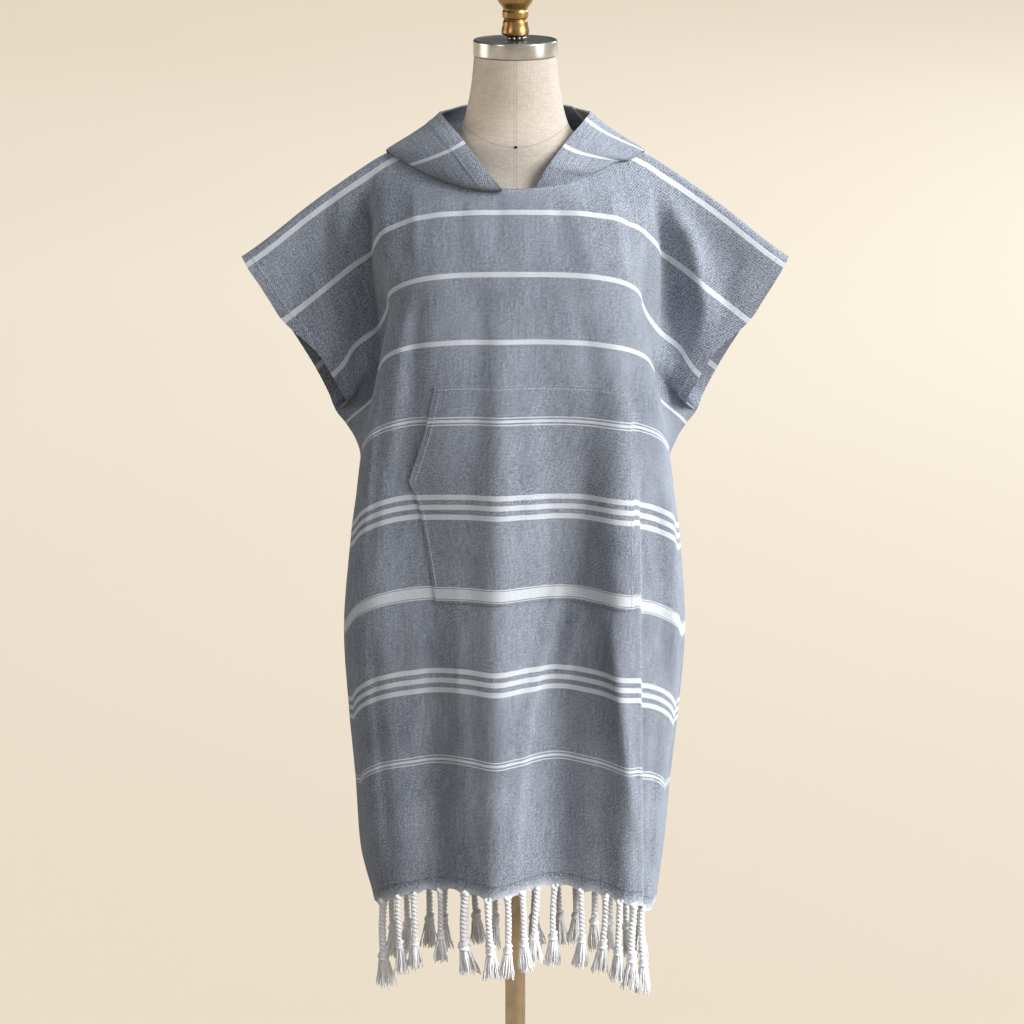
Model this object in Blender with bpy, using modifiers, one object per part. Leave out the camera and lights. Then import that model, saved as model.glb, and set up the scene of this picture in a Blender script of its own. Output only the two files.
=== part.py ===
"""Hooded bath poncho of flat-woven towelling, hanging on a limbless dress form.

The garment is a front and a back panel with the sleeves cut in one, a hood in two
halves that lies back, a patch pocket and a knotted fringe at both hems. The form is a
linen torso with a metal neck cap and a turned knob, on a pole with a round base.
Metres, +Z up. The front faces -Y and the origin is the middle of the base's underside.
"""

import math

import bmesh
import bpy
import numpy as np

# Cloth
WALL = 0.0016
SEAM_GAP = 0.0003
CLOTH_LENGTH = 0.945
NECK_HALF_WIDTH = 0.150
NECK_DEPTH = {"front": 0.066, "back": 0.045}
NECK_ROUND = 2.6
SQUEEZED_DOWN = 0.172

# Curvature of a section, as speeds along its two arcs
CENTRE_SPEED = 1.15
CREST_SPEED = 0.80
TUCK_SPEED = 1.80
EDGE_SPEED = 1.00
CREST_FALL = 1.60
EDGE_FALL = 0.90
PLATEAU_POWER = 3.0

# One row for each section of the front: distance down the cloth from the shoulder, then
# the middle, the crest where the cloth turns back, and the cuff or side seam. A turn is
# in degrees from straight across towards the back. Shift moves the section sideways.
SECTION_COLUMNS = (
    "down", "mid_y", "mid_z", "crest_x", "crest_y", "crest_z", "crest_turn",
    "edge_x", "edge_y", "edge_z", "edge_turn", "shift",
)
FRONT_SECTIONS = (
    (0.000, -0.0002, 1.390, 0.180, -0.0002, 1.357, 0, 0.339, -0.0002, 1.240, 0, 0.000),
    (0.005, -0.0050, 1.389, 0.180, -0.0044, 1.356, 0, 0.338, -0.0040, 1.239, 0, 0.000),
    (0.016, -0.0160, 1.383, 0.178, -0.0120, 1.344, 5, 0.333, -0.0095, 1.230, 0, 0.000),
    (0.050, -0.0660, 1.352, 0.170, -0.0330, 1.315, 25, 0.315, -0.0140, 1.202, 0, 0.001),
    (0.066, -0.0880, 1.338, 0.167, -0.0410, 1.302, 33, 0.306, -0.0160, 1.188, 0, 0.001),
    (0.096, -0.0990, 1.310, 0.162, -0.0560, 1.275, 50, 0.290, -0.0190, 1.162, 0, 0.001),
    (0.172, -0.1150, 1.236, 0.153, -0.0720, 1.201, 82, 0.250, -0.0240, 1.096, 0, 0.001),
    (0.205, -0.1185, 1.203, 0.156, -0.0740, 1.165, 92, 0.233, -0.0180, 1.064, 5, 0.001),
    (0.222, -0.1195, 1.187, 0.160, -0.0750, 1.147, 95, 0.225, -0.0010, 1.047, 30, 0.001),
    (0.256, -0.1220, 1.154, 0.167, -0.0770, 1.109, 98, 0.212, -0.0002, 1.030, 60, 0.001),
    (0.300, -0.1260, 1.111, 0.177, -0.0780, 1.063, 96, 0.200, -0.0002, 1.010, 85, 0.001),
    (0.352, -0.1280, 1.059, 0.186, -0.0770, 1.013, 92, 0.193, -0.0002, 0.986, 90, 0.000),
    (0.459, -0.1300, 0.952, 0.198, -0.0740, 0.904, 88, 0.2055, -0.0002, 0.888, 90, 0.000),
    (0.568, -0.1300, 0.843, 0.206, -0.0720, 0.788, 88, 0.214, -0.0002, 0.770, 90, -0.001),
    (0.682, -0.1270, 0.731, 0.199, -0.0700, 0.681, 88, 0.2075, -0.0002, 0.667, 90, -0.002),
    (0.784, -0.1220, 0.628, 0.190, -0.0680, 0.588, 88, 0.1985, -0.0002, 0.575, 90, -0.003),
    (0.870, -0.1180, 0.541, 0.184, -0.0660, 0.503, 88, 0.192, -0.0002, 0.491, 90, -0.004),
    (0.945, -0.1130, 0.460, 0.171, -0.0640, 0.430, 88, 0.1785, -0.0002, 0.418, 90, 0.000),
)

# The back keeps the front's widths and side seams, with its own middle and crest.
BACK_COLUMNS = ("down", "mid_y", "mid_z", "crest_y", "crest_z")
BACK_SECTIONS = (
    (0.000, 0.0002, 1.390, 0.0002, 1.357),
    (0.005, 0.0060, 1.389, 0.0044, 1.356),
    (0.016, 0.0210, 1.383, 0.0130, 1.344),
    (0.050, 0.0660, 1.360, 0.0380, 1.316),
    (0.066, 0.0800, 1.347, 0.0460, 1.303),
    (0.096, 0.0950, 1.320, 0.0600, 1.277),
    (0.172, 0.1120, 1.240, 0.0740, 1.201),
    (0.222, 0.1160, 1.190, 0.0760, 1.147),
    (0.300, 0.1150, 1.112, 0.0760, 1.063),
    (0.352, 0.1130, 1.060, 0.0740, 1.013),
    (0.459, 0.1100, 0.953, 0.0720, 0.904),
    (0.568, 0.1120, 0.844, 0.0710, 0.788),
    (0.682, 0.1130, 0.729, 0.0700, 0.681),
    (0.784, 0.1110, 0.625, 0.0680, 0.588),
    (0.870, 0.1080, 0.525, 0.0660, 0.500),
    (0.945, 0.1040, 0.436, 0.0640, 0.419),
)

# Soft folds. Across is where the fold lies at its start and at the hem, down is where it
# starts and where it is full, height is positive for a ridge, and drop lowers the hem.
FOLD_COLUMNS = (
    "across_top", "across_hem", "down_start", "down_full", "half_width", "height", "drop",
)
FRONT_FOLDS = (
    (-0.034, -0.036, 0.38, 0.80, 0.034, 0.009, 0.007),
    (0.050, 0.045, 0.36, 0.84, 0.028, -0.009, -0.005),
    (0.120, 0.120, 0.30, 0.80, 0.026, 0.008, 0.006),
    (-0.138, -0.136, 0.34, 0.80, 0.022, 0.004, 0.002),
    (-0.112, -0.112, 0.40, 0.86, 0.018, -0.003, 0.000),
)
BACK_FOLDS = (
    (-0.125, -0.130, 0.24, 0.80, 0.030, 0.008, 0.003),
    (-0.060, -0.075, 0.30, 0.86, 0.030, -0.009, -0.005),
    (0.000, -0.010, 0.22, 0.78, 0.036, 0.008, 0.006),
    (0.075, 0.060, 0.34, 0.88, 0.028, -0.009, -0.004),
    (0.130, 0.125, 0.20, 0.82, 0.032, 0.009, 0.005),
)

# Sharp crease left of the middle of the front, where the cloth is drawn up a little
CREASE = {"across_top": -0.070, "across_hem": -0.0725, "down_start": 0.50, "down_full": 0.80,
          "half_width": 0.032, "height": 0.003, "drop": -0.008}

# Steep fold beside the pocket: right of it the cloth lies deeper and lower.
OVERLAP = {"across_top": 0.122, "across_mid": 0.1480, "across_hem": 0.1555, "down_mid": 0.45,
           "down_start": 0.40, "down_full": 0.52, "half_span": 0.007, "reach": 0.0021,
           "step": 0.0045, "settle": 0.045, "drop": 0.008}

# Pocket outline, one row for each level: distance down, left and right edge, and how far
# each side stands open.
POCKET_COLUMNS = ("down", "left", "right", "gape")
POCKET_ROWS = (
    (0.314, -0.0985, 0.1390, 0.0000),
    (0.350, -0.1065, 0.1400, 0.0030),
    (0.392, -0.1190, 0.1405, 0.0050),
    (0.427, -0.1300, 0.1405, 0.0030),
    (0.444, -0.1240, 0.1410, 0.0000),
    (0.468, -0.1150, 0.1415, 0.0000),
    (0.505, -0.1110, 0.1420, 0.0000),
    (0.581, -0.1090, 0.1430, 0.0000),
)
POCKET_WALL = 0.0015
POCKET_PUFF = 0.0025
POCKET_AIR = 0.0013

# Hood, one row for each station from the front opening round to the centre back. The
# cloth runs out from the neckline over the panel, across and down, turns over by ahead
# and out, and comes back in to the free edge, with high as the way in.
HOOD_COLUMNS = (
    "round", "run_x", "run_v", "ahead", "out", "high_x", "high_y", "high_z",
    "edge_x", "edge_y", "edge_z",
)
HOOD_STATIONS = (
    (0.00, 0.000, 0.004, 0.002, 0.003, 0.000, 0.002, -0.001, 0.0154, -0.0975, 1.3370),
    (0.20, 0.001, 0.006, 0.008, 0.006, 0.014, -0.006, -0.010, 0.0411, -0.0850, 1.3670),
    (0.40, 0.005, 0.005, 0.010, 0.007, 0.020, -0.012, -0.010, 0.0697, -0.0450, 1.3985),
    (0.50, 0.008, 0.002, 0.011, 0.007, 0.024, -0.008, -0.012, 0.0840, -0.0220, 1.4120),
    (0.58, 0.008, -0.002, 0.011, 0.007, 0.026, 0.002, -0.015, 0.0927, 0.0000, 1.4203),
    (0.64, 0.009, -0.024, 0.013, 0.009, 0.032, 0.018, -0.016, 0.0895, 0.0220, 1.4180),
    (0.72, 0.009, -0.064, 0.018, 0.016, 0.045, 0.050, -0.045, 0.0790, 0.0500, 1.4170),
    (0.80, 0.008, -0.110, 0.026, 0.024, 0.050, 0.080, -0.085, 0.0655, 0.0720, 1.4185),
    (0.90, 0.004, -0.148, 0.034, 0.030, 0.028, 0.100, -0.125, 0.0385, 0.0920, 1.4190),
    (1.00, 0.000, -0.162, 0.036, 0.032, 0.000, 0.105, -0.145, 0.0000, 0.1000, 1.4185),
)
HOOD_START = 0.2
HOOD_RIDGE = 0.58
HOOD_AIR = (0.0008, 0.0022)
HOOD_WALL = 0.0016
HOOD_FRONT_START = 0.0154

# Fringe, one row for each knotted end: place across the hem, sideways drift of its tip,
# length and thickness of the twist.
STRAND_COLUMNS = ("across", "drift", "length", "radius")
FRONT_STRANDS = (
    (-0.166, 0.002, 0.108, 0.0036), (-0.146, 0.001, 0.096, 0.0028),
    (-0.126, -0.002, 0.094, 0.0030), (-0.095, 0.004, 0.090, 0.0028),
    (-0.063, 0.000, 0.102, 0.0040), (-0.033, 0.002, 0.100, 0.0032),
    (-0.009, -0.002, 0.102, 0.0030), (0.008, 0.006, 0.098, 0.0030),
    (0.026, -0.002, 0.094, 0.0030), (0.049, -0.003, 0.100, 0.0030),
    (0.083, -0.002, 0.096, 0.0028), (0.112, -0.004, 0.096, 0.0032),
    (0.129, 0.001, 0.100, 0.0030), (0.147, -0.002, 0.104, 0.0036),
    (0.162, 0.004, 0.108, 0.0030),
)
BACK_STRANDS = (
    (-0.158, 0.001, 0.104, 0.0030), (-0.139, -0.002, 0.106, 0.0030),
    (-0.112, 0.002, 0.102, 0.0032), (-0.091, 0.000, 0.108, 0.0030),
    (-0.052, 0.003, 0.100, 0.0032), (-0.026, -0.002, 0.104, 0.0030),
    (0.000, 0.002, 0.106, 0.0030), (0.026, -0.001, 0.102, 0.0034),
    (0.056, 0.002, 0.104, 0.0030), (0.078, -0.002, 0.100, 0.0030),
    (0.101, 0.001, 0.106, 0.0032), (0.123, -0.002, 0.102, 0.0030),
    (0.143, 0.002, 0.108, 0.0030), (0.160, 0.000, 0.104, 0.0030),
)
STRIP_DROP = 0.0010
STRIP_HEIGHT = 0.007
STRIP_WALL = 0.0022
ROOT_DROP = 0.0020
STRAND_SIDES = 4
# Share of the length and of the radius, from the root over the knot to the brush
STRAND_PROFILE = (
    (0.00, 1.0), (0.35, 1.0), (0.68, 1.0), (0.73, 1.9), (0.78, 1.2), (0.90, 2.3), (1.00, 2.6),
)

# Torso, one row for each level: height, half width, front, back and squareness.
TORSO_COLUMNS = ("z", "half_width", "front", "back", "power")
TORSO_LEVELS = (
    (0.745, 0.120, -0.075, 0.078, 2.2),
    (0.750, 0.146, -0.090, 0.093, 2.2),
    (0.765, 0.163, -0.100, 0.102, 2.2),
    (0.830, 0.166, -0.102, 0.102, 2.2),
    (0.920, 0.148, -0.096, 0.093, 2.2),
    (1.000, 0.132, -0.090, 0.083, 2.2),
    (1.080, 0.140, -0.096, 0.086, 2.2),
    (1.150, 0.150, -0.110, 0.096, 2.2),
    (1.200, 0.156, -0.109, 0.101, 2.2),
    (1.250, 0.164, -0.105, 0.101, 2.2),
    (1.290, 0.168, -0.098, 0.094, 2.1),
    (1.320, 0.165, -0.091, 0.079, 1.9),
    (1.340, 0.151, -0.081, 0.070, 1.8),
    (1.355, 0.124, -0.075, 0.062, 1.8),
    (1.370, 0.104, -0.071, 0.055, 1.9),
    (1.386, 0.083, -0.067, 0.054, 2.0),
    (1.402, 0.067, -0.059, 0.056, 2.0),
    (1.430, 0.0585, -0.052, 0.056, 2.0),
    (1.460, 0.0535, -0.051, 0.053, 2.0),
    (1.4895, 0.0508, -0.0508, 0.0508, 2.0),
)
TORSO_SIDES = 32

# Hardware of the form
CAP_RADIUS = 0.052
CAP_BOTTOM = 1.490
CAP_TOP = 1.510
CAP_BEVEL = 0.0012
COLLAR_RADIUS = 0.0105
COLLAR_HEIGHT = 0.005
# Radius and height along the knob
FINIAL_PROFILE = (
    (0.0168, 0.000), (0.0172, 0.003), (0.0158, 0.011), (0.0152, 0.018), (0.0140, 0.0190),
    (0.0158, 0.0205), (0.0160, 0.030), (0.0148, 0.0315), (0.0162, 0.034), (0.0222, 0.044),
    (0.0240, 0.054), (0.0222, 0.064), (0.0150, 0.073), (0.0070, 0.077),
)
PLATE_RADIUS = 0.062
PLATE_THICKNESS = 0.006
SOCKET_RADIUS = 0.021
SOCKET_LENGTH = 0.060
POLE_RADIUS = 0.0128
BASE_RADIUS = 0.200
BASE_THICKNESS = 0.008
BASE_BEVEL = 0.002
HUB_RADIUS = 0.034
HUB_HEIGHT = 0.030
ROUND_SEGMENTS = 32

COLOURS = {
    "cloth": (0.27, 0.29, 0.33), "fringe": (0.74, 0.72, 0.67), "linen": (0.72, 0.66, 0.56),
    "steel": (0.55, 0.53, 0.51), "brass": (0.47, 0.36, 0.22), "dark": (0.09, 0.08, 0.07),
    "bronze": (0.42, 0.37, 0.30),
}


# Scene


def clear_scene():
    """Empty the scene and make the collections."""
    for leftover in list(bpy.data.objects):
        bpy.data.objects.remove(leftover, do_unlink=True)
    parts = bpy.data.collections.new("hooded_bath_poncho")
    cutters = bpy.data.collections.new("cutters")
    for made in (parts, cutters):
        bpy.context.scene.collection.children.link(made)
    return parts, cutters


def material(name, colour, roughness, metallic=0.0):
    """A Principled material of one colour."""
    made = bpy.data.materials.new(name)
    made.use_nodes = True
    shader = made.node_tree.nodes["Principled BSDF"]
    shader.inputs["Base Color"].default_value = (*COLOURS[colour], 1.0)
    shader.inputs["Roughness"].default_value = roughness
    shader.inputs["Metallic"].default_value = metallic
    return made


def add_mesh(name, points, faces, collection, finish, smooth=True):
    """A named object from points and faces."""
    mesh = bpy.data.meshes.new(name)
    mesh.from_pydata([tuple(point) for point in points], [], faces)
    mesh.update()
    if smooth:
        mesh.shade_smooth()
    mesh.materials.append(finish)
    made = bpy.data.objects.new(name, mesh)
    collection.objects.link(made)
    return made


# Curves through short tables


def through_table(rows, columns, name, where):
    """Smooth, never overshooting curve through one column of a table."""
    table = np.asarray(rows, float)
    at = table[:, 0]
    value = table[:, columns.index(name)]
    where = np.clip(np.asarray(where, float), at[0], at[-1])
    step = np.diff(at)
    rise = np.diff(value) / step
    slope = np.empty_like(value)
    slope[0] = rise[0]
    slope[-1] = rise[-1]
    same_way = rise[:-1] * rise[1:] > 0.0
    weight_a = 2.0 * step[1:] + step[:-1]
    weight_b = step[1:] + 2.0 * step[:-1]
    safe_a = np.where(same_way, rise[:-1], 1.0)
    safe_b = np.where(same_way, rise[1:], 1.0)
    mean = (weight_a + weight_b) / (weight_a / safe_a + weight_b / safe_b)
    slope[1:-1] = np.where(same_way, mean, 0.0)
    index = np.clip(np.searchsorted(at, where, side="right") - 1, 0, len(step) - 1)
    t = (where - at[index]) / step[index]
    return arc(value[index], step[index] * slope[index],
               value[index + 1], step[index] * slope[index + 1], t)


def arc(start, leave, end, arrive, t):
    """Cubic from start to end with given speeds at both."""
    return (start * (1 + 2 * t) * (1 - t) ** 2 + leave * t * (1 - t) ** 2
            + end * t * t * (3 - 2 * t) + arrive * t * t * (t - 1))


def ease(value, start, full):
    """Smooth step from 0 at start to 1 at full."""
    t = np.clip((value - start) / (full - start), 0.0, 1.0)
    return t * t * (3.0 - 2.0 * t)


# Panels. A place on a panel is given by reach, 0 in the middle, 1 or -1 at the crest
# and 2 or -2 at the cuff or side seam, and by down, the distance from the shoulder.


def section_at(face, down):
    """Sizes of the section of one face at the given distances down."""
    sizes = {name: through_table(FRONT_SECTIONS, SECTION_COLUMNS, name, down)
             for name in SECTION_COLUMNS[1:]}
    if face == "back":
        for name in BACK_COLUMNS[1:]:
            sizes[name] = through_table(BACK_SECTIONS, BACK_COLUMNS, name, down)
        sizes["edge_y"] = -sizes["edge_y"]
    return sizes


def base_points(face, reach, down):
    """The panel without its folds."""
    inward = 1.0 if face == "front" else -1.0
    sizes = section_at(face, down)
    near = np.clip(np.abs(reach), 0.0, 1.0)
    far = np.clip(np.abs(reach) - 1.0, 0.0, 1.0)
    crest_turn = np.radians(sizes["crest_turn"])
    edge_turn = np.radians(sizes["edge_turn"])
    span = np.hypot(sizes["crest_x"], sizes["crest_y"] - sizes["mid_y"])
    tail = np.hypot(sizes["edge_x"] - sizes["crest_x"], sizes["edge_y"] - sizes["crest_y"])
    fall = sizes["edge_z"] - sizes["crest_z"]
    x_near = arc(0.0, CENTRE_SPEED * span, sizes["crest_x"],
                 CREST_SPEED * span * np.cos(crest_turn), near)
    y_near = arc(sizes["mid_y"], 0.0, sizes["crest_y"],
                 inward * CREST_SPEED * span * np.sin(crest_turn), near)
    z_near = sizes["mid_z"] + (sizes["crest_z"] - sizes["mid_z"]) * near ** PLATEAU_POWER
    x_far = arc(sizes["crest_x"], TUCK_SPEED * tail * np.cos(crest_turn), sizes["edge_x"],
                EDGE_SPEED * tail * np.cos(edge_turn), far)
    y_far = arc(sizes["crest_y"], inward * TUCK_SPEED * tail * np.sin(crest_turn),
                sizes["edge_y"], inward * EDGE_SPEED * tail * np.sin(edge_turn), far)
    z_far = arc(sizes["crest_z"], CREST_FALL * fall, sizes["edge_z"], EDGE_FALL * fall, far)
    outer = np.abs(reach) > 1.0
    x = np.where(outer, x_far, x_near) * np.sign(reach) + sizes["shift"]
    y = np.where(outer, y_far, y_near)
    z = np.where(outer, z_far, z_near)
    return np.stack([x, y, z], axis=-1)


def reach_at(face, across, down):
    """Reach of the point of the plateau that lies at a distance across, by halving."""
    side = np.sign(across)
    low = np.zeros(np.broadcast(across, down).shape)
    high = np.ones_like(low)
    for _ in range(24):
        middle = 0.5 * (low + high)
        beyond = side * base_points(face, side * middle, down)[..., 0] > np.abs(across)
        high = np.where(beyond, middle, high)
        low = np.where(beyond, low, middle)
    return side * 0.5 * (low + high)


def along(fold, down):
    """Place across of a fold that drifts from its start to the hem."""
    share = np.clip((down - fold["down_start"]) / (CLOTH_LENGTH - fold["down_start"]), 0, 1)
    return fold["across_top"] + (fold["across_hem"] - fold["across_top"]) * share


def overlap_across(down):
    """Place across of the overlapping fold."""
    upper = OVERLAP["across_top"] + (OVERLAP["across_mid"] - OVERLAP["across_top"]) * np.clip(
        down / OVERLAP["down_mid"], 0.0, 1.0)
    lower = (OVERLAP["across_hem"] - OVERLAP["across_mid"]) * np.clip(
        (down - OVERLAP["down_mid"]) / (CLOTH_LENGTH - OVERLAP["down_mid"]), 0.0, 1.0)
    return upper + lower


def panel_points(face, reach, down):
    """The panel with its folds, as the outer surface of the cloth."""
    reach = np.asarray(reach, float)
    down = np.asarray(down, float)
    outward = -1.0 if face == "front" else 1.0
    points = base_points(face, reach, down)
    x = points[..., 0]
    plateau = ease(np.abs(reach), 1.25, 0.90)
    rows = FRONT_FOLDS if face == "front" else BACK_FOLDS
    folds = [dict(zip(FOLD_COLUMNS, row)) for row in rows]
    for fold in folds:
        grown = ease(down, fold["down_start"], fold["down_full"]) * plateau
        bump = np.exp(-((x - along(fold, down)) / fold["half_width"]) ** 2) * grown
        points[..., 1] += outward * fold["height"] * bump
        points[..., 2] -= fold["drop"] * bump * ease(down, fold["down_start"], CLOTH_LENGTH)
    if face == "back":
        return points
    grown = ease(down, CREASE["down_start"], CREASE["down_full"])
    crease = np.exp(-np.abs(x - along(CREASE, down)) / CREASE["half_width"]) * grown * plateau
    points[..., 1] += outward * CREASE["height"] * crease
    points[..., 2] -= CREASE["drop"] * crease * ease(down, CREASE["down_start"], CLOTH_LENGTH)
    grown = ease(down, OVERLAP["down_start"], OVERLAP["down_full"])
    beyond = x - overlap_across(down)
    phase = np.clip(beyond / OVERLAP["half_span"], -1.0, 1.0)
    settle = np.exp(-np.clip(np.abs(beyond) - OVERLAP["half_span"], 0, None) / OVERLAP["settle"])
    step = phase * settle * grown
    points[..., 0] -= OVERLAP["reach"] * np.sin(math.pi * phase) * grown
    points[..., 1] -= outward * OVERLAP["step"] * step
    points[..., 2] -= OVERLAP["drop"] * ease(beyond, -OVERLAP["half_span"], OVERLAP["half_span"]) \
        * grown * ease(np.abs(reach), 2.0, 1.0)
    return points


def neck_down(face, across):
    """Distance down of the cut neckline at a place across."""
    share = np.clip(np.abs(across) / NECK_HALF_WIDTH, 0.0, 1.0)
    return NECK_DEPTH[face] * (1.0 - share ** NECK_ROUND)


def cut_down(face, reach, level):
    """Distance down of a level, squeezed under the neckline."""
    start = neck_down(face, NECK_HALF_WIDTH * np.clip(
        np.abs(reach) / NECK_REACH[face], 0.0, 1.0))
    squeezed = start + level * (SQUEEZED_DOWN - start) / SQUEEZED_DOWN
    return np.where(level < SQUEEZED_DOWN, squeezed, level)


NECK_REACH = {face: float(reach_at(face, np.array(NECK_HALF_WIDTH), np.array(0.0)))
              for face in ("front", "back")}

LEVELS = np.array((0.0, 0.005, 0.016, 0.036, 0.060, 0.096, 0.134, 0.172, 0.200, 0.222, 0.240,
                   0.258, 0.280, 0.310, 0.352, 0.405, 0.450, 0.485, 0.525, 0.580, 0.640,
                   0.700, 0.760, 0.820, 0.870, 0.910, 0.945))
PLATEAU_REACHES = np.array((0.0, 0.22, 0.42, 0.58, 0.72, 0.84, 0.93))
TAIL_REACHES = np.array((1.0, 1.07, 1.15, 1.25, 1.38, 1.54, 1.70, 1.84, 1.93, 2.0))
FOLD_PHASES = np.linspace(-1.0, 1.0, 7)
CREASE_COLUMNS = np.array((-0.010, 0.0, 0.010))


def front_columns(down):
    """Reach of each column of the front at one distance down."""
    level = np.array(down)
    start = overlap_across(level)
    fold = reach_at("front", start + OVERLAP["half_span"] * FOLD_PHASES, level)
    crease = reach_at("front", along(CREASE, level) + CREASE_COLUMNS, level)
    left = np.concatenate([-TAIL_REACHES[::-1], np.linspace(-1.0, crease[0], 6)[1:], crease[1:]])
    middle = np.linspace(crease[-1], fold[0], 10)[1:-1]
    gap = 1.0 - fold[-1]
    right = np.concatenate([fold, fold[-1] + gap * np.array((0.4, 0.75)), TAIL_REACHES])
    return np.concatenate([left, middle, right])


def back_columns(down):
    """Reach of each column of the back, the same at every level."""
    half = np.concatenate([PLATEAU_REACHES, TAIL_REACHES])
    return np.concatenate([-half[:0:-1], half])


# Walls


def grid_normals(grid):
    """Unit normals of a grid of points, from its neighbours."""
    normal = np.cross(np.gradient(grid, axis=1), np.gradient(grid, axis=0))
    return normal / np.maximum(np.linalg.norm(normal, axis=-1, keepdims=True), 1e-12)


def wall_faces(outer):
    """Triangles of a closed wall: outer grid, inner grid, rim. Both grids split each
    cell along the shorter diagonal of the outer one, so that they stay parallel."""
    rows, columns = outer.shape[:2]
    count = rows * columns
    falling = np.linalg.norm(outer[:-1, :-1] - outer[1:, 1:], axis=-1)
    rising = np.linalg.norm(outer[:-1, 1:] - outer[1:, :-1], axis=-1)
    faces = []
    for row in range(rows - 1):
        for column in range(columns - 1):
            a = row * columns + column
            b = a + 1
            c = b + columns
            d = a + columns
            pair = ((a, b, c), (a, c, d))
            if rising[row, column] < falling[row, column]:
                pair = ((a, b, d), (b, c, d))
            for corners in pair:
                faces.append(corners)
                faces.append(tuple(count + corner for corner in reversed(corners)))
    rim = list(range(columns))
    rim += [row * columns + columns - 1 for row in range(1, rows)]
    rim += [(rows - 1) * columns + column for column in range(columns - 2, -1, -1)]
    rim += [row * columns for row in range(rows - 2, 0, -1)]
    for here, after in zip(rim, rim[1:] + rim[:1]):
        faces.append((after, here, count + here, count + after))
    return faces


def add_wall(name, outer, inner, collection, finish):
    """A closed cloth wall between two grids, its faces pointing out."""
    points = np.concatenate([outer.reshape(-1, 3), inner.reshape(-1, 3)])
    made = add_mesh(name, points, wall_faces(outer), collection, finish)
    work = bmesh.new()
    work.from_mesh(made.data)
    if work.calc_volume(signed=True) < 0.0:
        bmesh.ops.reverse_faces(work, faces=work.faces)
    work.to_mesh(made.data)
    work.free()
    return made


def panel_grid(face):
    """Reach and distance down of each point of one panel."""
    columns = front_columns if face == "front" else back_columns
    reach = np.stack([columns(level) for level in LEVELS])
    down = cut_down(face, reach, LEVELS[:, None] + 0.0 * reach)
    return reach, down


def build_panel(face, collection, finish):
    """Front or back of the poncho as a wall that keeps to its side of the seams."""
    reach, down = panel_grid(face)
    outer = panel_points(face, reach, down)
    inward = 1.0 if face == "front" else -1.0
    normal = grid_normals(outer)
    facing = np.sign(np.sum(normal[len(LEVELS) // 2, :, 1] * inward))
    inner = outer + facing * WALL * normal
    for grid in (outer, inner):
        grid[..., 1] = inward * np.minimum(inward * grid[..., 1], -0.5 * SEAM_GAP)
    return add_wall(f"{face}_panel", outer, inner, collection, finish)


def offset_points(face, reach, down, distance):
    """Points of a panel moved out by a distance along its normals."""
    small = 1e-4
    here = panel_points(face, reach, down)
    across = panel_points(face, reach + small, down) - panel_points(face, reach - small, down)
    below = panel_points(face, reach, down + small) - panel_points(face, reach, down - small)
    normal = np.cross(across, below)
    normal /= np.maximum(np.linalg.norm(normal, axis=-1, keepdims=True), 1e-12)
    outward = -1.0 if face == "front" else 1.0
    turned = np.sign(normal[..., 1:2]) * outward
    return here + normal * turned * np.asarray(distance)[..., None]


def build_pocket(collection, finish):
    """Patch pocket: the panel's own points moved out, standing open at its hand slits."""
    downs = np.array((0.314, 0.333, 0.352, 0.378, 0.405, 0.427, 0.450, 0.468, 0.485, 0.505,
                      0.525, 0.552, 0.581))
    shares = np.array((0.0, 0.03, 0.09, 0.20, 0.34, 0.50, 0.66, 0.80, 0.91, 0.97, 1.0))
    left = through_table(POCKET_ROWS, POCKET_COLUMNS, "left", downs)
    right = through_table(POCKET_ROWS, POCKET_COLUMNS, "right", downs)
    gape = through_table(POCKET_ROWS, POCKET_COLUMNS, "gape", downs)
    across = left[:, None] + (right - left)[:, None] * shares
    down = downs[:, None] + 0.0 * across
    reach = reach_at("front", across, down)
    middle = np.sin(math.pi * shares) * np.sin(math.pi * np.linspace(0, 1, len(downs)))[:, None]
    side = np.abs(2.0 * shares - 1.0) ** 6
    clear = POCKET_AIR + POCKET_PUFF * middle + gape[:, None] * side
    inner = offset_points("front", reach, down, clear)
    outer = offset_points("front", reach, down, clear + POCKET_WALL)
    return add_wall("kangaroo_pocket", outer, inner, collection, finish)


# Hood


def neckline(rounds):
    """Across and signed down of the cut neckline; the back counts as negative."""
    first = math.asin(HOOD_FRONT_START / NECK_HALF_WIDTH)
    front = first + (0.5 * math.pi - first) * rounds / HOOD_RIDGE
    back = 0.5 * math.pi * (1.0 + (rounds - HOOD_RIDGE) / (1.0 - HOOD_RIDGE))
    angle = np.where(rounds < HOOD_RIDGE, front, back)
    depth = np.where(rounds < HOOD_RIDGE, NECK_DEPTH["front"], -NECK_DEPTH["back"])
    across = NECK_HALF_WIDTH * np.sin(angle)
    return across, depth * (1.0 - np.clip(np.sin(angle), 0.0, 1.0) ** NECK_ROUND)


def over_panels(side, across, signed_down, distance):
    """Points above the two panels, front for a positive distance down and else back."""
    points = {}
    for face in ("front", "back"):
        down = np.abs(signed_down)
        reach = reach_at(face, side * np.maximum(across, 1e-4), down)
        points[face] = offset_points(face, reach, down, distance)
    return np.where(signed_down[..., None] >= 0.0, points["front"], points["back"])


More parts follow.
